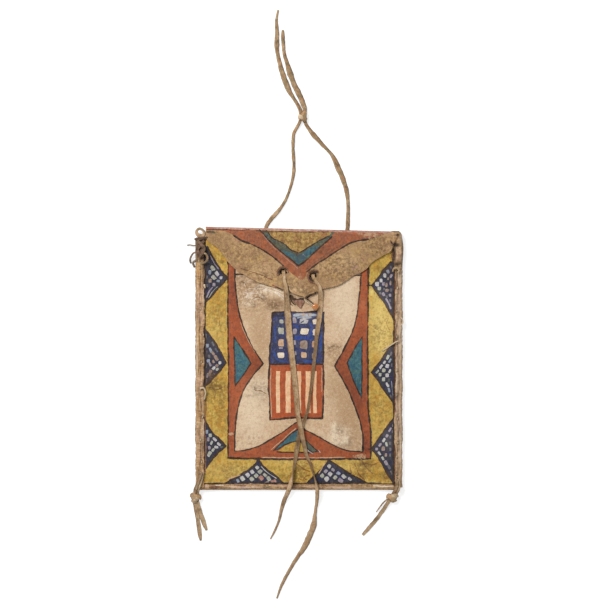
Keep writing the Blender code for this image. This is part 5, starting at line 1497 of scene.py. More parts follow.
def binding_point(side, y, turn):
    """The outer face of a binding: turn goes from 0 at its front lip to 1 at its back lip."""
    front = turn < 0.5
    lip = BINDING_INNER_X + (LIP_DRAW if front and side > 0 else 0.0)
    lip += (1.3 * ripple(y, side, 11 * MM, 61.1 + front) + 0.7 * ripple(y, side, 3.2 * MM, 64.7 + front)) * MM
    if front and side > 0:
        lip -= LIP_WAVE * math.exp(-((y - LIP_WAVE_Y) / (15 * MM)) ** 2)
    inner = side * BINDING_INNER_X
    high = front_face(inner, y) + CLEAR + BINDING
    low = back_face(inner, y) - CLEAR - BINDING
    centre_x = PANEL_HALF - COVER / 3
    centre_z = (high + low) / 2
    half_width = BINDING_OUTER_X - centre_x
    half_height = (high - low) / 2 + CROWN
    if turn < BINDING_FLAT or turn > 1.0 - BINDING_FLAT:
        share = (turn if front else 1.0 - turn) / BINDING_FLAT
        x = side * (lip + (centre_x - lip) * share)
        z = (high if front else low) + (CROWN if front else -CROWN) * share
        out = np.array((0.0, 0.0, 1.0 if front else -1.0))
    else:
        angle = math.pi / 2 - math.pi * (turn - BINDING_FLAT) / (1.0 - 2 * BINDING_FLAT)
        x = side * (centre_x + half_width * abs(math.cos(angle)) ** SQUARENESS)
        z = centre_z + half_height * power(math.sin(angle), SQUARENESS)
        out = np.array((side * math.cos(angle), 0.0, math.sin(angle)))
    lift = 0.4 * ripple(y, 30 * MM * turn, 6 * MM, 71.3) + 0.42 * ripple(y, 16 * MM * turn, 2.3 * MM, 77.3)
    lift += 0.75 * ripple(y, 8 * MM * turn, 21 * MM, 73.9)
    if front:
        first, second, deep = creases(side, y)
        lift += 0.3 * math.exp(-((turn - 0.05) / 0.04) ** 2) - 0.5 * math.exp(-((turn - first) / 0.024) ** 2)
        lift -= 0.45 * deep * math.exp(-((turn - second) / 0.022) ** 2)
    else:
        lift = min(lift, 0.15)
    return np.array((x, y, z)) + out * lift * MM


def mark_values(kind, places):
    """A soft value at each place in plan, from the marks of that kind."""
    return soft_values(places, (to_plan, BINDING_MARKS[kind]))


def make_shell(name, grid, thick, material, outward, soil, around):
    """A sheet of hide of even thickness from a grid of points on its outer face."""
    rows, wide = grid.shape[0] - 1, grid.shape[1]
    normals = np.cross(np.gradient(grid, axis=1), np.gradient(grid, axis=0))
    normals /= np.maximum(np.linalg.norm(normals, axis=2), 1e-12)[..., None]
    turned = np.dot(normals[rows // 2, wide // 2], outward) < 0
    if turned:
        normals = -normals
    outer = grid.reshape(-1, 3)
    inner = outer - normals.reshape(-1, 3) * thick
    half = len(outer)
    faces = []
    for row in range(rows):
        for step in range(wide - 1):
            a = row * wide + step
            quad = (a, a + 1, a + 1 + wide, a + wide)
            back = tuple(index + half for index in quad)
            faces += [quad, back[::-1]] if not turned else [quad[::-1], back]
    rim = [row * wide for row in range(rows + 1)] + [rows * wide + step for step in range(1, wide)]
    rim += [row * wide + wide - 1 for row in range(rows - 1, -1, -1)] + list(range(wide - 2, 0, -1))
    for start, stop in zip(rim, rim[1:] + rim[:1]):
        quad = (start, stop, stop + half, start + half)
        faces.append(quad if not turned else quad[::-1])
    piece = make_mesh(name, np.concatenate([outer, inner]), faces, [material], sharp=60.0)
    values = {kind: mark_values(kind, outer) for kind in BINDING_MARKS}
    values["soil"] = np.maximum(values["soil"], soil)
    values.update(along=outer[:, 1] / MM, around=around)
    add_values(piece, **{kind: np.concatenate([found, found]) for kind, found in values.items()})
    return piece


def build_binding(side, material):
    name = "side_binding_left" if side < 0 else "side_binding_right"
    length = BINDING_TOP_Y - BINDING_BOTTOM_Y
    count = int(length / BINDING_ROW)
    stitches = stitch_places(side)
    points, soil, around = [], [], []
    for row in range(count + 1):
        y = BINDING_BOTTOM_Y + length * row / count
        first, second, deep = creases(side, y)
        middle = (front_face(side * BINDING_INNER_X, y) + back_face(side * BINDING_INNER_X, y)) / 2
        near_end = (smooth(BINDING_TOP_Y - 4 * MM, BINDING_TOP_Y, y)
                    + smooth(BINDING_BOTTOM_Y + 4 * MM, BINDING_BOTTOM_Y, y))
        for step in range(BINDING_STEPS + 1):
            turn = step / BINDING_STEPS
            point = binding_point(side, y, turn)
            dip = 0.0
            for x, stitch_y, half in stitches:
                for hole in (stitch_y - half, stitch_y + half):
                    away = math.hypot(point[0] - x, point[1] - hole)
                    dip = max(dip, math.exp(-(away / STITCH_DIP) ** 2))
            point[2] += (-0.35 if point[2] > middle else 0.2) * MM * dip
            point[1] += 0.8 * MM * ripple(turn * 4 * MM, side, 2 * MM, 81.1) * near_end
            points.append(point)
            # Painted shade: darker along the two creases and the front lip's edge, and round each stitch
            # hole.
            line = math.exp(-((turn - first) / 0.02) ** 2) * (0.75 + ripple(y, side, 5 * MM, 67.7))
            line = max(line, 0.8 * deep * math.exp(-((turn - second) / 0.018) ** 2), 0.6 * (turn < 0.01))
            soil.append(min(1.0, max(0.9 * dip, 0.85 * line)))
            around.append(turn * BINDING_AROUND)
    order = np.arange(len(points)).reshape(count + 1, -1)
    order = order if side > 0 else order[:, ::-1]
    piece = make_shell(name + "_hide", np.array(points)[order], BINDING * 0.85, material, (side, 0.0, 0.0),
                       np.array(soil)[order.ravel()], np.array(around)[order.ravel()])
    dress(piece, "tanned_hide", name)


# The tab over the flap's right corner: y, then its inner and outer edge, in pixels
TAB_ROWS = (
    (231.6, 391.4, 399.6), (232.6, 390.7, 400.9), (234.6, 390.6, 401.8), (238, 391.8, 402.4),
    (242, 391.4, 403), (246, 391.6, 403.5), (248.6, 393.4, 403.6), (254, 393.9, 403.4), (259, 393.2, 403),
    (264, 393.8, 402.7), (269, 394.8, 402.6),
)
TAB_LOW = 3.2 * MM
TAB_COLUMNS = 30


def tab_height(x, y):
    """Height of the binding and of the flap's corner, rounded over at the top fold."""
    inside = min(x, PANEL_HALF - MM)
    top = top_tangent(inside)
    level = min(y, top)
    binding = front_face(BINDING_INNER_X, level) + CLEAR + BINDING + CROWN
    edge = np.interp(inside, FLAP_OUTLINE[:, 0], FLAP_OUTLINE[:, 1])
    high = binding + (flap_face(inside, level) - binding) * smooth(edge - 2 * MM, edge + 2.5 * MM, level)
    low = back_face(inside, level)
    over = min(1.0, max(0.0, y - top) / (TOP_FOLD + 0.5 * MM))
    return (low + high + (high - low) * math.sqrt(1.0 - over * over)) / 2


def build_tab(material):
    """The end of the right binding, folded over the flap's corner and pierced there."""
    keys = smooth_curve(TAB_ROWS, 0.7)
    first = (keys[0][0] - 0.6, keys[0][1] + 0.4, keys[0][2] - 0.3)
    rows = [(first, fall) for fall in (0.0, 0.35, 0.7)] + [(key, 1.0) for key in keys]
    last = len(rows) - 1
    points, soil, around = [], [], []
    for number, ((y, inner, outer), fall) in enumerate(rows):
        for column in range(TAB_COLUMNS + 1):
            share = column / TAB_COLUMNS
            px = inner + (outer - inner) * math.sin(share * math.pi / 2) ** 0.9
            x, y_place = to_plan((px, y + 0.5 * ripple(px, 3.1, 3.0, 85.5) * (number == last)))
            over = max(0.0, (px - outer) / (outer - inner) + 0.34) / 0.34
            top = tab_height(x, y_place) + (0.25 + 0.95 * smooth(0.0, 0.1, share)) * MM
            top -= 0.6 * MM * smooth(last - 3, last, number)
            top += (0.7 * ripple(x, y_place, 5 * MM, 86.1) + 0.4 * ripple(x, y_place, 2 * MM, 87.1)) * MM
            height = TAB_LOW + (top - TAB_LOW) * math.sqrt(max(0.0, 1.0 - over * over)) * fall
            points.append((x, y_place, height))
            # Darker along the tab's inner edge, along the row where it drops and along its lower end.
            soil.append(0.8 * (share < 0.02) + 0.5 * (number == 3) + 0.6 * (number == last))
            around.append(share * TAB_AROUND)
    points = np.array(points)
    points[:, 2] -= 0.7 * MM * mark_values("soil", points) * (points[:, 2] > 6 * MM)
    grid = points.reshape(len(rows), TAB_COLUMNS + 1, 3)
    piece = make_shell("corner_tab_right", grid, 0.7 * MM, material, (0.0, 0.0, 1.0),
                       np.minimum(1.0, soil), np.array(around))
    dress(piece, "tanned_hide")


def make_leather(name, main, other, dark, light, tints):
    """Soft smoked hide: creased along and across, darker in its folds, edges and holes with soil and painted
    shade, paler where it is rubbed and along its ridges as a painted highlight.
    """
    made = Finish(name, 0.82, 0.2)
    along, around = made.value("along"), made.value("around")
    patches = made.noise(9 * MM, 4.0, 0.65, 0.5)
    blotches = made.noise(3.0 * MM, 6.0, 0.75, 0.2)
    grain = made.noise(0.9 * MM, 3.0, 0.7)
    streaks = made.noise(1.0, 3.0, 0.65, 0.4, made.joined((along, 0.12), (around, 0.9)))
    wrinkles = made.noise(1.0, 3.0, 0.65, 0.6, made.joined((along, 0.6), (around, 0.13)))
    hues = made.noise(5.0 * MM, 3.0, 0.6, 0.3)
    # The dark value is soil on the hide and also painted shade in its creases, stitch holes, slits and along
    # its edges; the pale value further down is rubbed wear and also a painted highlight along its ridges and
    # lips.
    soil = made.math("MULTIPLY", made.value("soil"), made.ramp(blotches, 0.15, 0.45))
    colour = made.layers(
        main,
        (other, 1.0, patches, 0.4, 0.6),
        (tints[0], 0.5, hues, 0.52, 0.62),
        (tints[1], 0.5, hues, 0.46, 0.36),
        (GOLD, 0.85, made.value("gold")),
        (BLUSH, 0.75, made.value("blush")),
        (dark, 0.6, blotches, 0.5, 0.66),
        (light, 0.6, blotches, 0.48, 0.34),
        (dark, 0.6, streaks, 0.52, 0.68),
        (light, 0.65, streaks, 0.47, 0.32),
        (dark, 0.5, wrinkles, 0.53, 0.68),
        (light, 0.4, wrinkles, 0.46, 0.32),
        (RUBBED_AND_HIGHLIGHT, 0.85, made.value("rubbed_and_highlight")),
        (SOIL_AND_SHADE, 0.95, soil),
    )
    height = made.total((streaks, 0.5), (wrinkles, 0.45), (blotches, 0.3), (grain, 0.12))
    return made.finish(colour, height, 0.7 * MM, 0.85)


# ---------------------------------------------------------------- small pieces

def dress(piece, slot, *nodes):
    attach(piece, "root")
    if nodes:
        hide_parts(*nodes)


def plain_strip(name, line, width, thick, material, seed, *nodes):
    """A thong of even width along a line."""
    piece = strip(name, line, np.full(len(line), width), np.zeros(len(line)), thick, material, seed)
    dress(piece, "thong", *nodes)


def thread(name, line, diameter, material, seed, *nodes):
    """A round twisted thread or sinew along a line."""
    widths = np.array([diameter * (1.0 + 0.25 * wave(index * 0.9, seed, 6.0)) for index in range(len(line))])
    piece = strip(name, line, widths, np.zeros(len(line)), diameter, material, seed, cup=0.0)
    dress(piece, "thread", *nodes)


def build_knot(name, knot, materials, seed):
    """A tight overhand knot: three turns of its strip crossing over each other around a hidden core, coloured
    dark as painted shade in the gaps between the turns.
    """
    (x, y), (width, length) = [(a * MM, b * MM) for a, b in knot]
    centre = np.array((x, y, KNOT_HEIGHT / 2 + FLOOR_SKIN))
    reach = np.array((width / 2 - 1.3 * MM, length / 2 - 1.5 * MM, KNOT_HEIGHT / 2 - 1.0 * MM))
    pieces = []
    for turn in range(3):
        facing = math.radians(60 * turn + 40 * math.sin(seed))
        flat = np.array((math.cos(facing), math.sin(facing), 0.0))
        off = np.array((-math.sin(facing), math.cos(facing), 0.0)) * KNOT_OFF * (-1) ** turn
        line, normals, widths, twists = [], [], [], []
        for index, angle in enumerate(circle(KNOT_STEPS)):
            way = unit(flat * math.cos(angle) + UP * math.sin(angle) + off)
            high = 1.0 + 0.17 * math.cos(angle) * (-1) ** turn * max(0.0, way[2])
            line.append(centre + way * reach * high)
            normals.append(unit(way / reach))
            widths.append((KNOT_STRIP + 0.9 * wave(index * 0.07, seed, turn * 3.3)) * MM)
            twists.append(7.0 * math.sin(angle + seed + turn))
        piece = strip("%s_turn_%d" % (name, turn), line, widths, twists, KNOT_THICK, materials[turn],
                      seed + turn, closed=True, cup=-0.22, normals=np.array(normals))
        dress(piece, "thong", *([name] if turn == 0 else []))
        pieces.append(piece)
    points, faces = [], []
    rings, steps = 9, 18
    for ring in range(rings + 1):
        rise = math.pi * ring / rings
        wide = math.sin(rise)
        for angle in circle(steps):
            way = np.array((wide * math.cos(angle), wide * math.sin(angle), math.cos(rise)))
            points.append(centre + way * reach * 0.86)
    for ring in range(rings):
        for step in range(steps):
            a, b = ring * steps + step, ring * steps + (step + 1) % steps
            if ring == 0:
                faces.append((a, a + steps, b + steps))
            elif ring == rings - 1:
                faces.append((a, a + steps, b))
            else:
                faces.append((a, a + steps, b + steps, b))
    core = make_mesh(name + "_core", points, faces, [materials[2]], sharp=80.0)
    # An across of 1 gives the core the thong's dark edge colour all over: painted shade in the gaps between
    # the turns.
    add_values(core, across=np.ones(len(points)))
    dress(core, "thong")
    return pieces + [core]


def placed(keys):
    """Points in the picture with a height in millimetres, as places in the scene."""
    return [to_plan((x, y)) + (z * MM,) for x, y, z in keys]


def laid(keys, lift):
    """Points in the picture, as places just above what lies there."""
    places = [to_plan(point) for point in keys]
    return [(x, y, resting_height(x, y) + lift) for x, y in places]


def band(name, points, widths, twist, thick, material, seed):
    """A short strip through places in the scene, with its widths in millimetres spread evenly along it."""
    line = smooth_curve(points, 0.5 * MM)
    wide, turns = (np.interp(np.linspace(0.0, 1.0, len(line)), np.linspace(0.0, 1.0, len(values)), values)
                   for values in (widths, twist))
    piece = strip(name, line, wide * MM, turns, thick, material, seed)
    dress(piece, "thong")


def scrap(name, outline, rise, material, slot, seed):
    """A thin scrap of hide lying on the pouch, with a rounded edge."""
    loop = [to_plan(point) for point in outline]
    closed = smooth_curve(loop[-1:] + loop + loop[:2], 0.5 * MM)
    away = [math.dist(point, loop[0]) for point in closed]
    first = min(range(len(closed)), key=lambda index: away[index])
    last = min(range(len(closed)), key=lambda index: away[index] + (index <= first + 3) * 9)
    closed = [point[:2] for point in closed[first:last]]
    middle = np.mean(closed, axis=0)
    points = []
    levels = ((1.0, 0.0), (1.01, 0.5), (0.95, 0.9), (0.8, 1.0), (0.55, 1.0), (0.28, 1.0))
    for share, high in levels:
        for point in closed:
            x, y = middle + (np.array(point) - middle) * share
            bump = 1.0 + 0.5 * ripple(x, y, 2.2 * MM, seed)
            points.append((x, y, resting_height(x, y) + 0.04 * MM + rise * high * bump))
    wide = len(closed)
    faces = ring_faces(len(levels), wide)
    points.append((middle[0], middle[1], resting_height(*middle) + 0.04 * MM + rise))
    points.append((middle[0], middle[1], resting_height(*middle) + 0.04 * MM))
    top = (len(levels) - 1) * wide
    for step in range(wide):
        faces.append((top + step, top + (step + 1) % wide, len(points) - 2))
        faces.append(((step + 1) % wide, step, len(points) - 1))
    piece = make_mesh(name, points, faces, [material], sharp=70.0)
    # The scrap is darker at its rim.
    edge = np.repeat([1.0, 0.9, 0.3, 0.0, 0.0, 0.0], wide)
    add_values(piece, soil=np.concatenate([edge, [0.0, 0.0]]), along=[point[1] / MM for point in points],
               around=[point[0] / MM for point in points])
    dress(piece, slot)


def hole_start(side):
    """The way of a tie thong from inside the pocket up through its hole and onto the flap."""
    x, inset = TIE_HOLES[side]
    y = top_line(x) - inset
    top = flap_face(x, y)
    return [(x, y + 1.6 * MM, pocket_height(x, y) + 0.3 * MM), (x, y + 0.4 * MM, top - 2.4 * MM),
            (x, y - 1.3 * MM, top - 0.5 * MM)]


def build_tie(material):
    over = None
    ends = []
    for side, name in ((1, "tie_thong_right"), (0, "tie_thong_left")):
        line, widths, twists = lay_strip(TIE_ROUTES[side], TIE_KEYS[side], THICK, over=over)
        begin = smooth_curve(hole_start(side) + [tuple(line[1])], STEP)[:-1]
        line = begin + line[1:]
        widths = np.concatenate([[widths[0] * 0.92] * len(begin), widths[1:]])
        twists = np.concatenate([np.linspace(0.0, twists[0], len(begin)), twists[1:]])
        piece = strip(name, line, widths, twists, THICK, material, 3.0 + side)
        dress(piece, "thong", "tie_thong")
        ends.append(line[0])
        over = []
        for point, width, turn in zip(line, widths, np.radians(twists)):
            reach = abs(width / 2 * math.cos(turn)) + THICK / 2
            rise = abs(width / 2 * math.sin(turn)) + abs(THICK / 2 * math.cos(turn))
            over.append((point, reach, rise))
    middle = (ends[1] + ends[0]) / 2 + np.array((0.0, 0.0, -0.2 * MM))
    bight = smooth_curve([ends[1], middle, ends[0]], STEP)
    plain_strip("tie_thong_bight", bight, 4.2 * MM, THICK, material, 5.5, "tie_thong")


def strand_line(route, hole_x):
    """A hanging strand: from inside the pocket, out through the back and along the floor to the knot."""
    floor = THICK / 2 + 0.15 * MM
    hole_y = top_line(hole_x) - HANG_INSET
    begin = [(hole_x, hole_y - 0.8 * MM, pocket_height(hole_x, hole_y)),
             (hole_x, hole_y + 0.9 * MM, floor + 1.5 * MM), (hole_x, hole_y + 4.5 * MM, floor + 0.1 * MM)]
    plan = [(x * MM, y * MM) for x, y in route]
    line = smooth_curve(begin + [(x, y, floor) for x, y in plan], STEP)
    top = plan[-1][1]
    for point in line:
        if point[1] > hole_y + HANG_HOLE:
            point[2] = floor + (KNOT_HEIGHT / 2 - floor) * smooth(top - HANG_RISE, top, point[1])
    return line


def tail_line(route):
    floor = THICK / 2 + 0.15 * MM
    line = smooth_curve([(x * MM, y * MM, floor) for x, y in route], STEP)
    for point in line:
        away = math.dist(point[:2], line[0][:2])
        point[2] = floor + (KNOT_HEIGHT / 2 - floor) * (1.0 - smooth(0.0, TAIL_DROP, away))
    return line


def hanging_strip(name, node, line, keys, material, seed):
    widths, twists = keyed(line, keys, 1) * MM, soften(keyed(line, keys, 2), 4)
    piece = strip(name, line, widths, twists, THICK, material, seed)
    dress(piece, "thong", node)
    return piece


def build_hanging(material, knot_materials):
    knot = build_knot("hanging_knot", HANG_KNOT, knot_materials, 1.2)
    for side, name in enumerate(SIDE_NAMES):
        line = tail_line(HANG_TAIL_ROUTES[side])
        piece = hanging_strip("hanging_tail_%s_strip" % name, "hanging_tail_" + name, line,
                              HANG_TAIL_KEYS[side], material, 12.0 + side)
    starts = []
    for side, name in enumerate(SIDE_NAMES):
        line = strand_line(HANG_ROUTES[side], HANG_HOLES[side])
        piece = hanging_strip("hanging_thong_" + name, "hanging_thong", line, HANG_KEYS[side], material,
                              22.0 + side)
        starts.append(line[0])
    middle = (starts[0] + starts[1]) / 2
    middle[2] = pocket_height(middle[0], middle[1])
    bight = smooth_curve([starts[0], middle, starts[1]], STEP)
    plain_strip("hanging_thong_bight", bight, 3.8 * MM, THICK, material, 25.5, "hanging_thong")


# For each corner: its strip down to the knot, its long tail and its short tail
CORNER_KEYS = (
    (((0, 3.4, 40), (0.3, 5.4, 14), (0.75, 6, 0), (1, 5, 0)), ((0, 3.6, 0), (0.2, 3.7, 10), (0.35, 4, 20),
     (0.8, 4.3, 24), (0.93, 3.6, 30), (1, 1.8, 40)), ((0, 3.6, 0), (0.2, 3.7, -6), (0.45, 4.3, -6),
     (0.75, 4.4, 6), (0.9, 3.4, 10), (1, 2.2, 20))),
    (((0, 3.6, 30), (0.3, 5.6, 10), (0.8, 5.8, 0), (1, 5, 0)), ((0, 4, 0), (0.2, 3.8, 0), (0.5, 4.1, 6),
     (0.67, 4.1, 8), (0.85, 3.8, 0), (1, 2.6, 0)), ((0, 1.6, 0), (0.5, 1.5, 0), (1, 1, 0))),
)


def build_corners(material, knot_materials, groove_shade_material):
    for side, name in enumerate(SIDE_NAMES):
        seed = 31.0 + 7 * side
        knot = build_knot("corner_knot_" + name, CORNER_KNOTS[side], knot_materials[side], seed)
        top_keys, long_keys, short_keys = CORNER_KEYS[side]
        line = tail_line(CORNER_SHORT_ROUTES[side])
        short_tail = strip("corner_tail_short_%s_strip" % name, line, keyed(line, short_keys, 1) * MM,
                           keyed(line, short_keys, 2), THICK if side == 0 else 0.9 * MM, material, seed + 1)
        dress(short_tail, "thong", "corner_tail_short_" + name)
        top, widths, twists = lay_strip(CORNER_ROUTES[side], top_keys, THICK, slope=0.8)
        for point in top:
            point[2] = max(point[2], KNOT_HEIGHT / 2)
        # A thin dark strip along the top of each corner thong: painted shade in the groove between its two
        # strands.
        groove_shade_line = [point + np.array((0.3 * MM, 0.0, THICK * 0.62)) for point in top[1:-3]]
        plain_strip("corner_groove_shade_" + name, groove_shade_line, 0.5 * MM, 0.5 * MM, groove_shade_material, seed + 3)
        tail = tail_line(CORNER_LONG_ROUTES[side])
        line = top + tail[2:]
        widths = soften(np.concatenate([widths, keyed(tail, long_keys, 1)[2:] * MM]), 2)
        twists = soften(np.concatenate([twists, keyed(tail, long_keys, 2)[2:]]), 3)
        piece = strip("corner_thong_%s_strip" % name, line, widths, twists, THICK, material, seed + 2)
        dress(piece, "thong", "corner_thong_" + name, "corner_tail_long_" + name)


def build_corner_loop(material):
    """The small ring of thong between the left binding's end and the flap's corner."""
    x = -(PANEL_HALF - TOP_NOTCH) - CLEAR - LOOP_INSET
    y = BINDING_TOP_Y + CLEAR + LOOP_INSET
    z = (back_face(-PANEL_HALF, BINDING_TOP_Y) + flap_face(-PANEL_HALF, BINDING_TOP_Y)) / 2
    line, widths, twists = [], [], []
    for angle in circle(60):
        reach = (LOOP_REACH + 0.4 * math.cos(2 * angle + 0.9)) * MM
        line.append(np.array((x + reach * math.cos(angle), y + 1.1 * reach * math.sin(angle),
                              z + 0.5 * MM * math.sin(2 * angle))))
        turn = angle + 1.0
        widths.append((3.5 + 1.1 * math.cos(turn) + 0.5 * wave(math.cos(turn), math.sin(turn), 5.5)) * MM)
        twists.append(24.0 + 30.0 * math.sin(turn))
    piece = strip("corner_loop_strip", line, widths, twists, 1.5 * MM, material, 51.0, closed=True)
    dress(piece, "thong", "corner_loop")


# Loose threads: name, diameter in millimetres, whether it is dark, then x and y in pixels and height in
# millimetres at each point; a height of 0 lies on the front panel
LOOSE_THREADS = (
    ("loose_end_left_top", 1.2, True, (196.4, 245.4, 4.2), (193.5, 245.6, 3.4), (190.2, 244.9, 2),
     (186.9, 245.1, 0.6)),
    ("loose_loop_left", 1.7, True, (197, 252.3, 5.4), (193.6, 253, 4.6), (191.3, 255.8, 3.6),
     (189.9, 260.2, 2.4), (190.8, 263.4, 1.6)),
    ("loose_hook_left", 2.1, True, (197.4, 260, 6.6), (195, 260.8, 4.6), (193, 263.1, 3.2),
     (194.4, 267.4, 1.6)),
    ("loose_tail_right", 1.3, False, (398, 341, 8.9), (395, 342.4, 8.4), (389.5, 346.2, 0),
     (382.2, 351.2, 0)),
    ("loose_bump_right", 1.3, False, (400.8, 317.8, 7.4), (402.3, 319.6, 6.6), (402.7, 322.6, 6.2),
     (401.4, 325.4, 6.8)),
    ("loose_stitch_left", 1.4, False, (204.6, 284.4, 8.8), (204.9, 286.2, 9.1), (205, 288.2, 8.7)),
    ("loose_curl_left", 1.9, False, (200.4, 388.4, 8.6), (203.4, 387.8, 9), (205.2, 390.4, 8.6),
     (205.4, 395, 8), (204, 399.6, 8.2)),
)
# Wraps at the corners: name, whether it is dark, thickness, widths, twists and points in the same units
WRAPS = (
    ("wrap_left_0", True, 1.2, (2.6, 3.8, 4.2, 3.4, 2), (0, 6, -6, 4), (195.4, 240, 4), (195.7, 239.8, 7.4),
     (198.4, 239.1, 9.5), (202, 238.6, 10), (205.6, 238.1, 9.6), (208.4, 237.8, 8.4)),
    ("wrap_left_1", True, 1.3, (2.4, 3.6, 3.4, 3.4, 2.2), (10, -12, 14, 0), (204.4, 240.6, 9.2),
     (200.8, 244.9, 9.7), (197.7, 249.2, 9.2), (199, 253.6, 9.6), (203.2, 256.6, 9.2)),
    ("wrap_left_2", True, 1.3, (2.6, 3.8, 3.4, 3.6, 2.4), (-8, 12, -10, 6), (197.6, 241.2, 9.4),
     (201.4, 244.6, 10.9), (204, 248.6, 9.9), (202.2, 252.8, 10.7), (199, 257.6, 9.6)),
    ("wrap_curl_left", False, 1.3, (1.7, 2, 2.3, 2.1, 2.4, 1.6), (0, 20, 30, 10), (201.8, 253.2, 10.6),
     (205.4, 253.8, 10.2), (207.4, 256.8, 9.3), (206.9, 260.4, 9.2), (203.8, 262.8, 9.6), (200.2, 262.6, 9.6),
     (198.6, 260, 9.8)),
    ("wrap_curl_right", False, 1.2, (1.4, 2.1, 2.3, 1.5), (0, 15, 0), (392.6, 272, 8.6), (393.6, 269, 9.6),
     (396.6, 268.2, 10.2), (398.6, 270.6, 9.9), (397.2, 273, 9.4)),
)
# The folded tongue of hide at the flap's tip, in pixels
TONGUE = ((293.2, 301), (295.6, 303.8), (298.2, 306.4), (300.8, 308.7), (302.8, 305.4), (304.4, 302.2),
          (303.4, 300.2), (298.2, 299.8))
# The bead and the knee of its thread, both from the flap's tip
BEAD_PLACE = (9.8 * MM, -8.9 * MM)
KNEE_PLACE = (2.5 * MM, -3.2 * MM)
BEAD_RADIUS = 3.1 * MM
BEAD_LENGTH = 5.8 * MM
BEAD_HOLE = 0.8 * MM


def bead_place():
    """The bead's centre and the way of its thread, which comes from a knee at the flap's tip."""
    x, y = TIP[0] + BEAD_PLACE[0], TIP[1] + BEAD_PLACE[1]
    knee = (TIP[0] + KNEE_PLACE[0], TIP[1] + KNEE_PLACE[1])
    centre = np.array((x, y, front_face(x, y) + CLEAR + BEAD_RADIUS))
    return centre, unit(np.array((x - knee[0], y - knee[1], 0.0)))


def build_bead():
    """A wound glass bead: a fat ring, a little uneven, with a hole along its thread."""
    centre, axis = bead_place()
    side = np.cross(axis, UP)
    body = (BEAD_RADIUS - BEAD_HOLE) / 2
    rings, steps = 28, 40
    points = []
    for angle in circle(rings):
        along = BEAD_LENGTH / 2 * power(math.sin(angle), 1.05)
        reach = BEAD_HOLE + body + body * power(math.cos(angle), 1.05)
        for turn in circle(steps):
            uneven = 1.0 + 0.05 * wave(math.cos(turn), math.sin(turn), 3 * angle)
            out = side * math.cos(turn) + UP * math.sin(turn)
            points.append(centre + axis * along + out * reach * uneven)
    made = Finish("orange_bead", 0.16, 0.5)
    swirl = made.noise(2.4 * MM, 3.0, 0.6, 1.4)
    colour = made.layers((184, 106, 48), ((208, 142, 78), 1.0, swirl, 0.35, 0.65))
    made.shader.inputs["Transmission Weight"].default_value = 0.12
    made.shader.inputs["Coat Weight"].default_value = 0.5
    material = made.finish(colour, swirl, 0.1 * MM, 0.3)
    piece = make_mesh("bead_glass", points, ring_faces(rings, steps, True), [material], sharp=80.0)
    dress(piece, "orange_glass", "bead")


def build_threads(sinew, dark_sinew):
    centre, axis = bead_place()
    start = np.array((TIP[0] - 1.5 * MM, TIP[1] + 3.3 * MM, 0.0))
    knee = np.array((TIP[0] + KNEE_PLACE[0], TIP[1] + KNEE_PLACE[1], 0.0))
    for point in (start, knee):
        point[2] = front_face(point[0], point[1]) + 0.45 * MM
    line = smooth_curve([start, knee, centre - axis * 3.2 * MM, centre - axis * 1.5 * MM, centre,
                         centre + axis * 2.9 * MM], 0.4 * MM)
    thread("bead_thread_sinew", line, 0.7 * MM, sinew, 61.0, "bead_thread")
    for side, side_name in ((-1, "left"), (1, "right")):
        inner = side * BINDING_INNER_X
        for index, (x, y, half) in enumerate(stitch_places(side)):
            faces = (("front", front_face(inner, y) + CLEAR + BINDING + 0.25 * MM, 1, 0.45 * MM),
                     ("back", back_face(inner, y) - CLEAR - BINDING + 0.1 * MM, -1, -0.05 * MM))
            for face, top, turn, rise in faces:
                heights = (-turn * 0.7 * MM, rise * 0.7, rise, rise * 0.7, -turn * 0.7 * MM)
                keys = [(x, y + half * (step / 2 - 1), top + height) for step, height in enumerate(heights)]
                line = smooth_curve(keys, 0.35 * MM)
                thread("stitch_%s_%d_%s" % (side_name, index, face), line, 0.75 * MM, sinew, 63.0 + index)
    for index, (name, diameter, dark, *keys) in enumerate(LOOSE_THREADS):
        points = []
        for x, y, z in keys:
            x, y = to_plan((x, y))
            points.append((x, y, z * MM if z else front_face(x, y) + 0.5 * MM))
        line = smooth_curve(points, 0.5 * MM)
        thread(name, line, diameter * MM, dark_sinew if dark else sinew, 83.0 + index)


def build_corner_wraps(dark_thong, thong):
    """The worn lacing round the top of the left binding: a wrap, two twisted ends and a curl round a hole."""
    for index, (name, dark, thick, widths, twist, *keys) in enumerate(WRAPS):
        band(name, placed(keys), widths, twist, thick * MM, dark_thong if dark else thong, 91.0 + index)


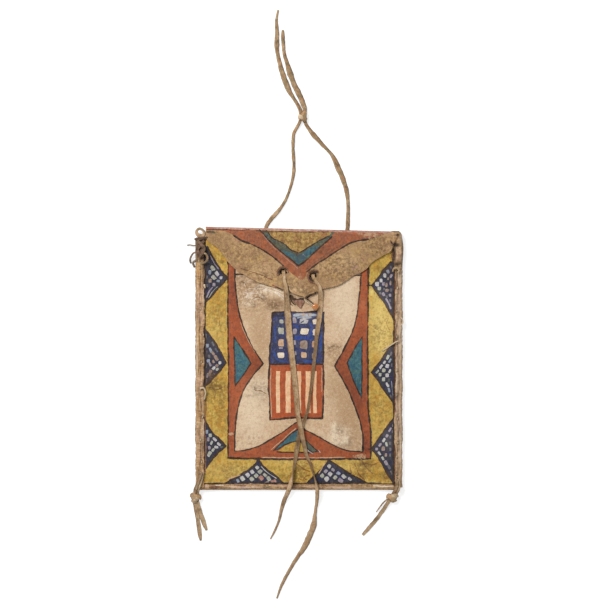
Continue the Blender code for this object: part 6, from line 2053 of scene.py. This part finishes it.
def build_tip_scraps(tongue, thong, dark_thong):
    """What hangs at the flap's tip: a folded tongue of hide, a pale strand that holds the bead, and a dark
    strip beside it that paints the shade between that strand and the bead's thread.
    """
    scrap("tip_tongue", TONGUE, 0.8 * MM, tongue, "tanned_hide", 96.0)
    # A dark strip standing for the shade between the pale strands.
    band("tip_shade_strand", laid(((305.4, 297.6), (308.4, 299.9), (311.2, 302.2), (313.2, 304)), 0.75 * MM),
         (1.5, 1.9, 1.2), (0, 10), 0.9 * MM, dark_thong, 97.0)
    band("tip_strand", laid(((304.2, 299.4), (306.4, 301.8), (309.2, 304), (312.6, 306.2)), 1.0 * MM),
         (1.3, 1.7, 1.3), (0, -10), 0.9 * MM, thong, 98.0)


def main():
    add_camera()
    add_light()
    add_stage()
    thong = make_thong("thong_hide", (172, 144, 110), (178, 152, 120), (108, 80, 54), (208, 184, 152))
    pale = make_thong("thong_pale", (196, 174, 142), (190, 166, 134), (134, 104, 76), (222, 204, 176))
    golden = make_thong("thong_golden", (180, 142, 102), (170, 134, 98), (110, 78, 50), (212, 180, 142))
    grey = make_thong("thong_grey", (148, 120, 88), (140, 114, 84), (88, 65, 44), (190, 164, 130),
                      ((118, 110, 78), (156, 102, 62)))
    build_tie(make_thong("tie_hide", (178, 146, 108), (184, 154, 120), (106, 76, 48), (214, 188, 154),
                         ((170, 130, 86), (196, 160, 130))))
    build_hanging(grey, (golden, grey, pale))
    dark_thong = make_thong("thong_dark", (104, 80, 62), (96, 72, 56), (54, 40, 32), (146, 118, 94),
                            ((92, 78, 56), (110, 78, 68)))
    build_corners(thong, ((golden, pale, thong), (pale, thong, golden)), dark_thong)
    build_corner_loop(thong)
    build_corner_wraps(dark_thong, thong)
    paints = make_paints()
    sheet = build_sheet(paints)
    dress(sheet, "rawhide", "rawhide_envelope")
    leather = make_leather("binding_hide", (178, 146, 108), (168, 133, 97), (110, 79, 52), (214, 187, 150),
                           ((182, 142, 88), (194, 148, 122)))
    build_binding(-1, leather)
    build_binding(1, leather)
    build_tab(leather)
    tongue = make_leather("tongue_hide", (146, 102, 82), (128, 96, 84), (62, 42, 34), (178, 146, 128),
                          ((140, 104, 96), (150, 100, 70)))
    build_tip_scraps(tongue, pale, dark_thong)
    build_bead()
    sinew = make_thong("sinew", (206, 186, 154), (214, 196, 166), (150, 124, 92), (228, 214, 190))
    dark_sinew = make_thong("sinew_dark", (122, 106, 90), (130, 114, 98), (80, 66, 54), (158, 142, 126))
    build_threads(sinew, dark_sinew)


main()
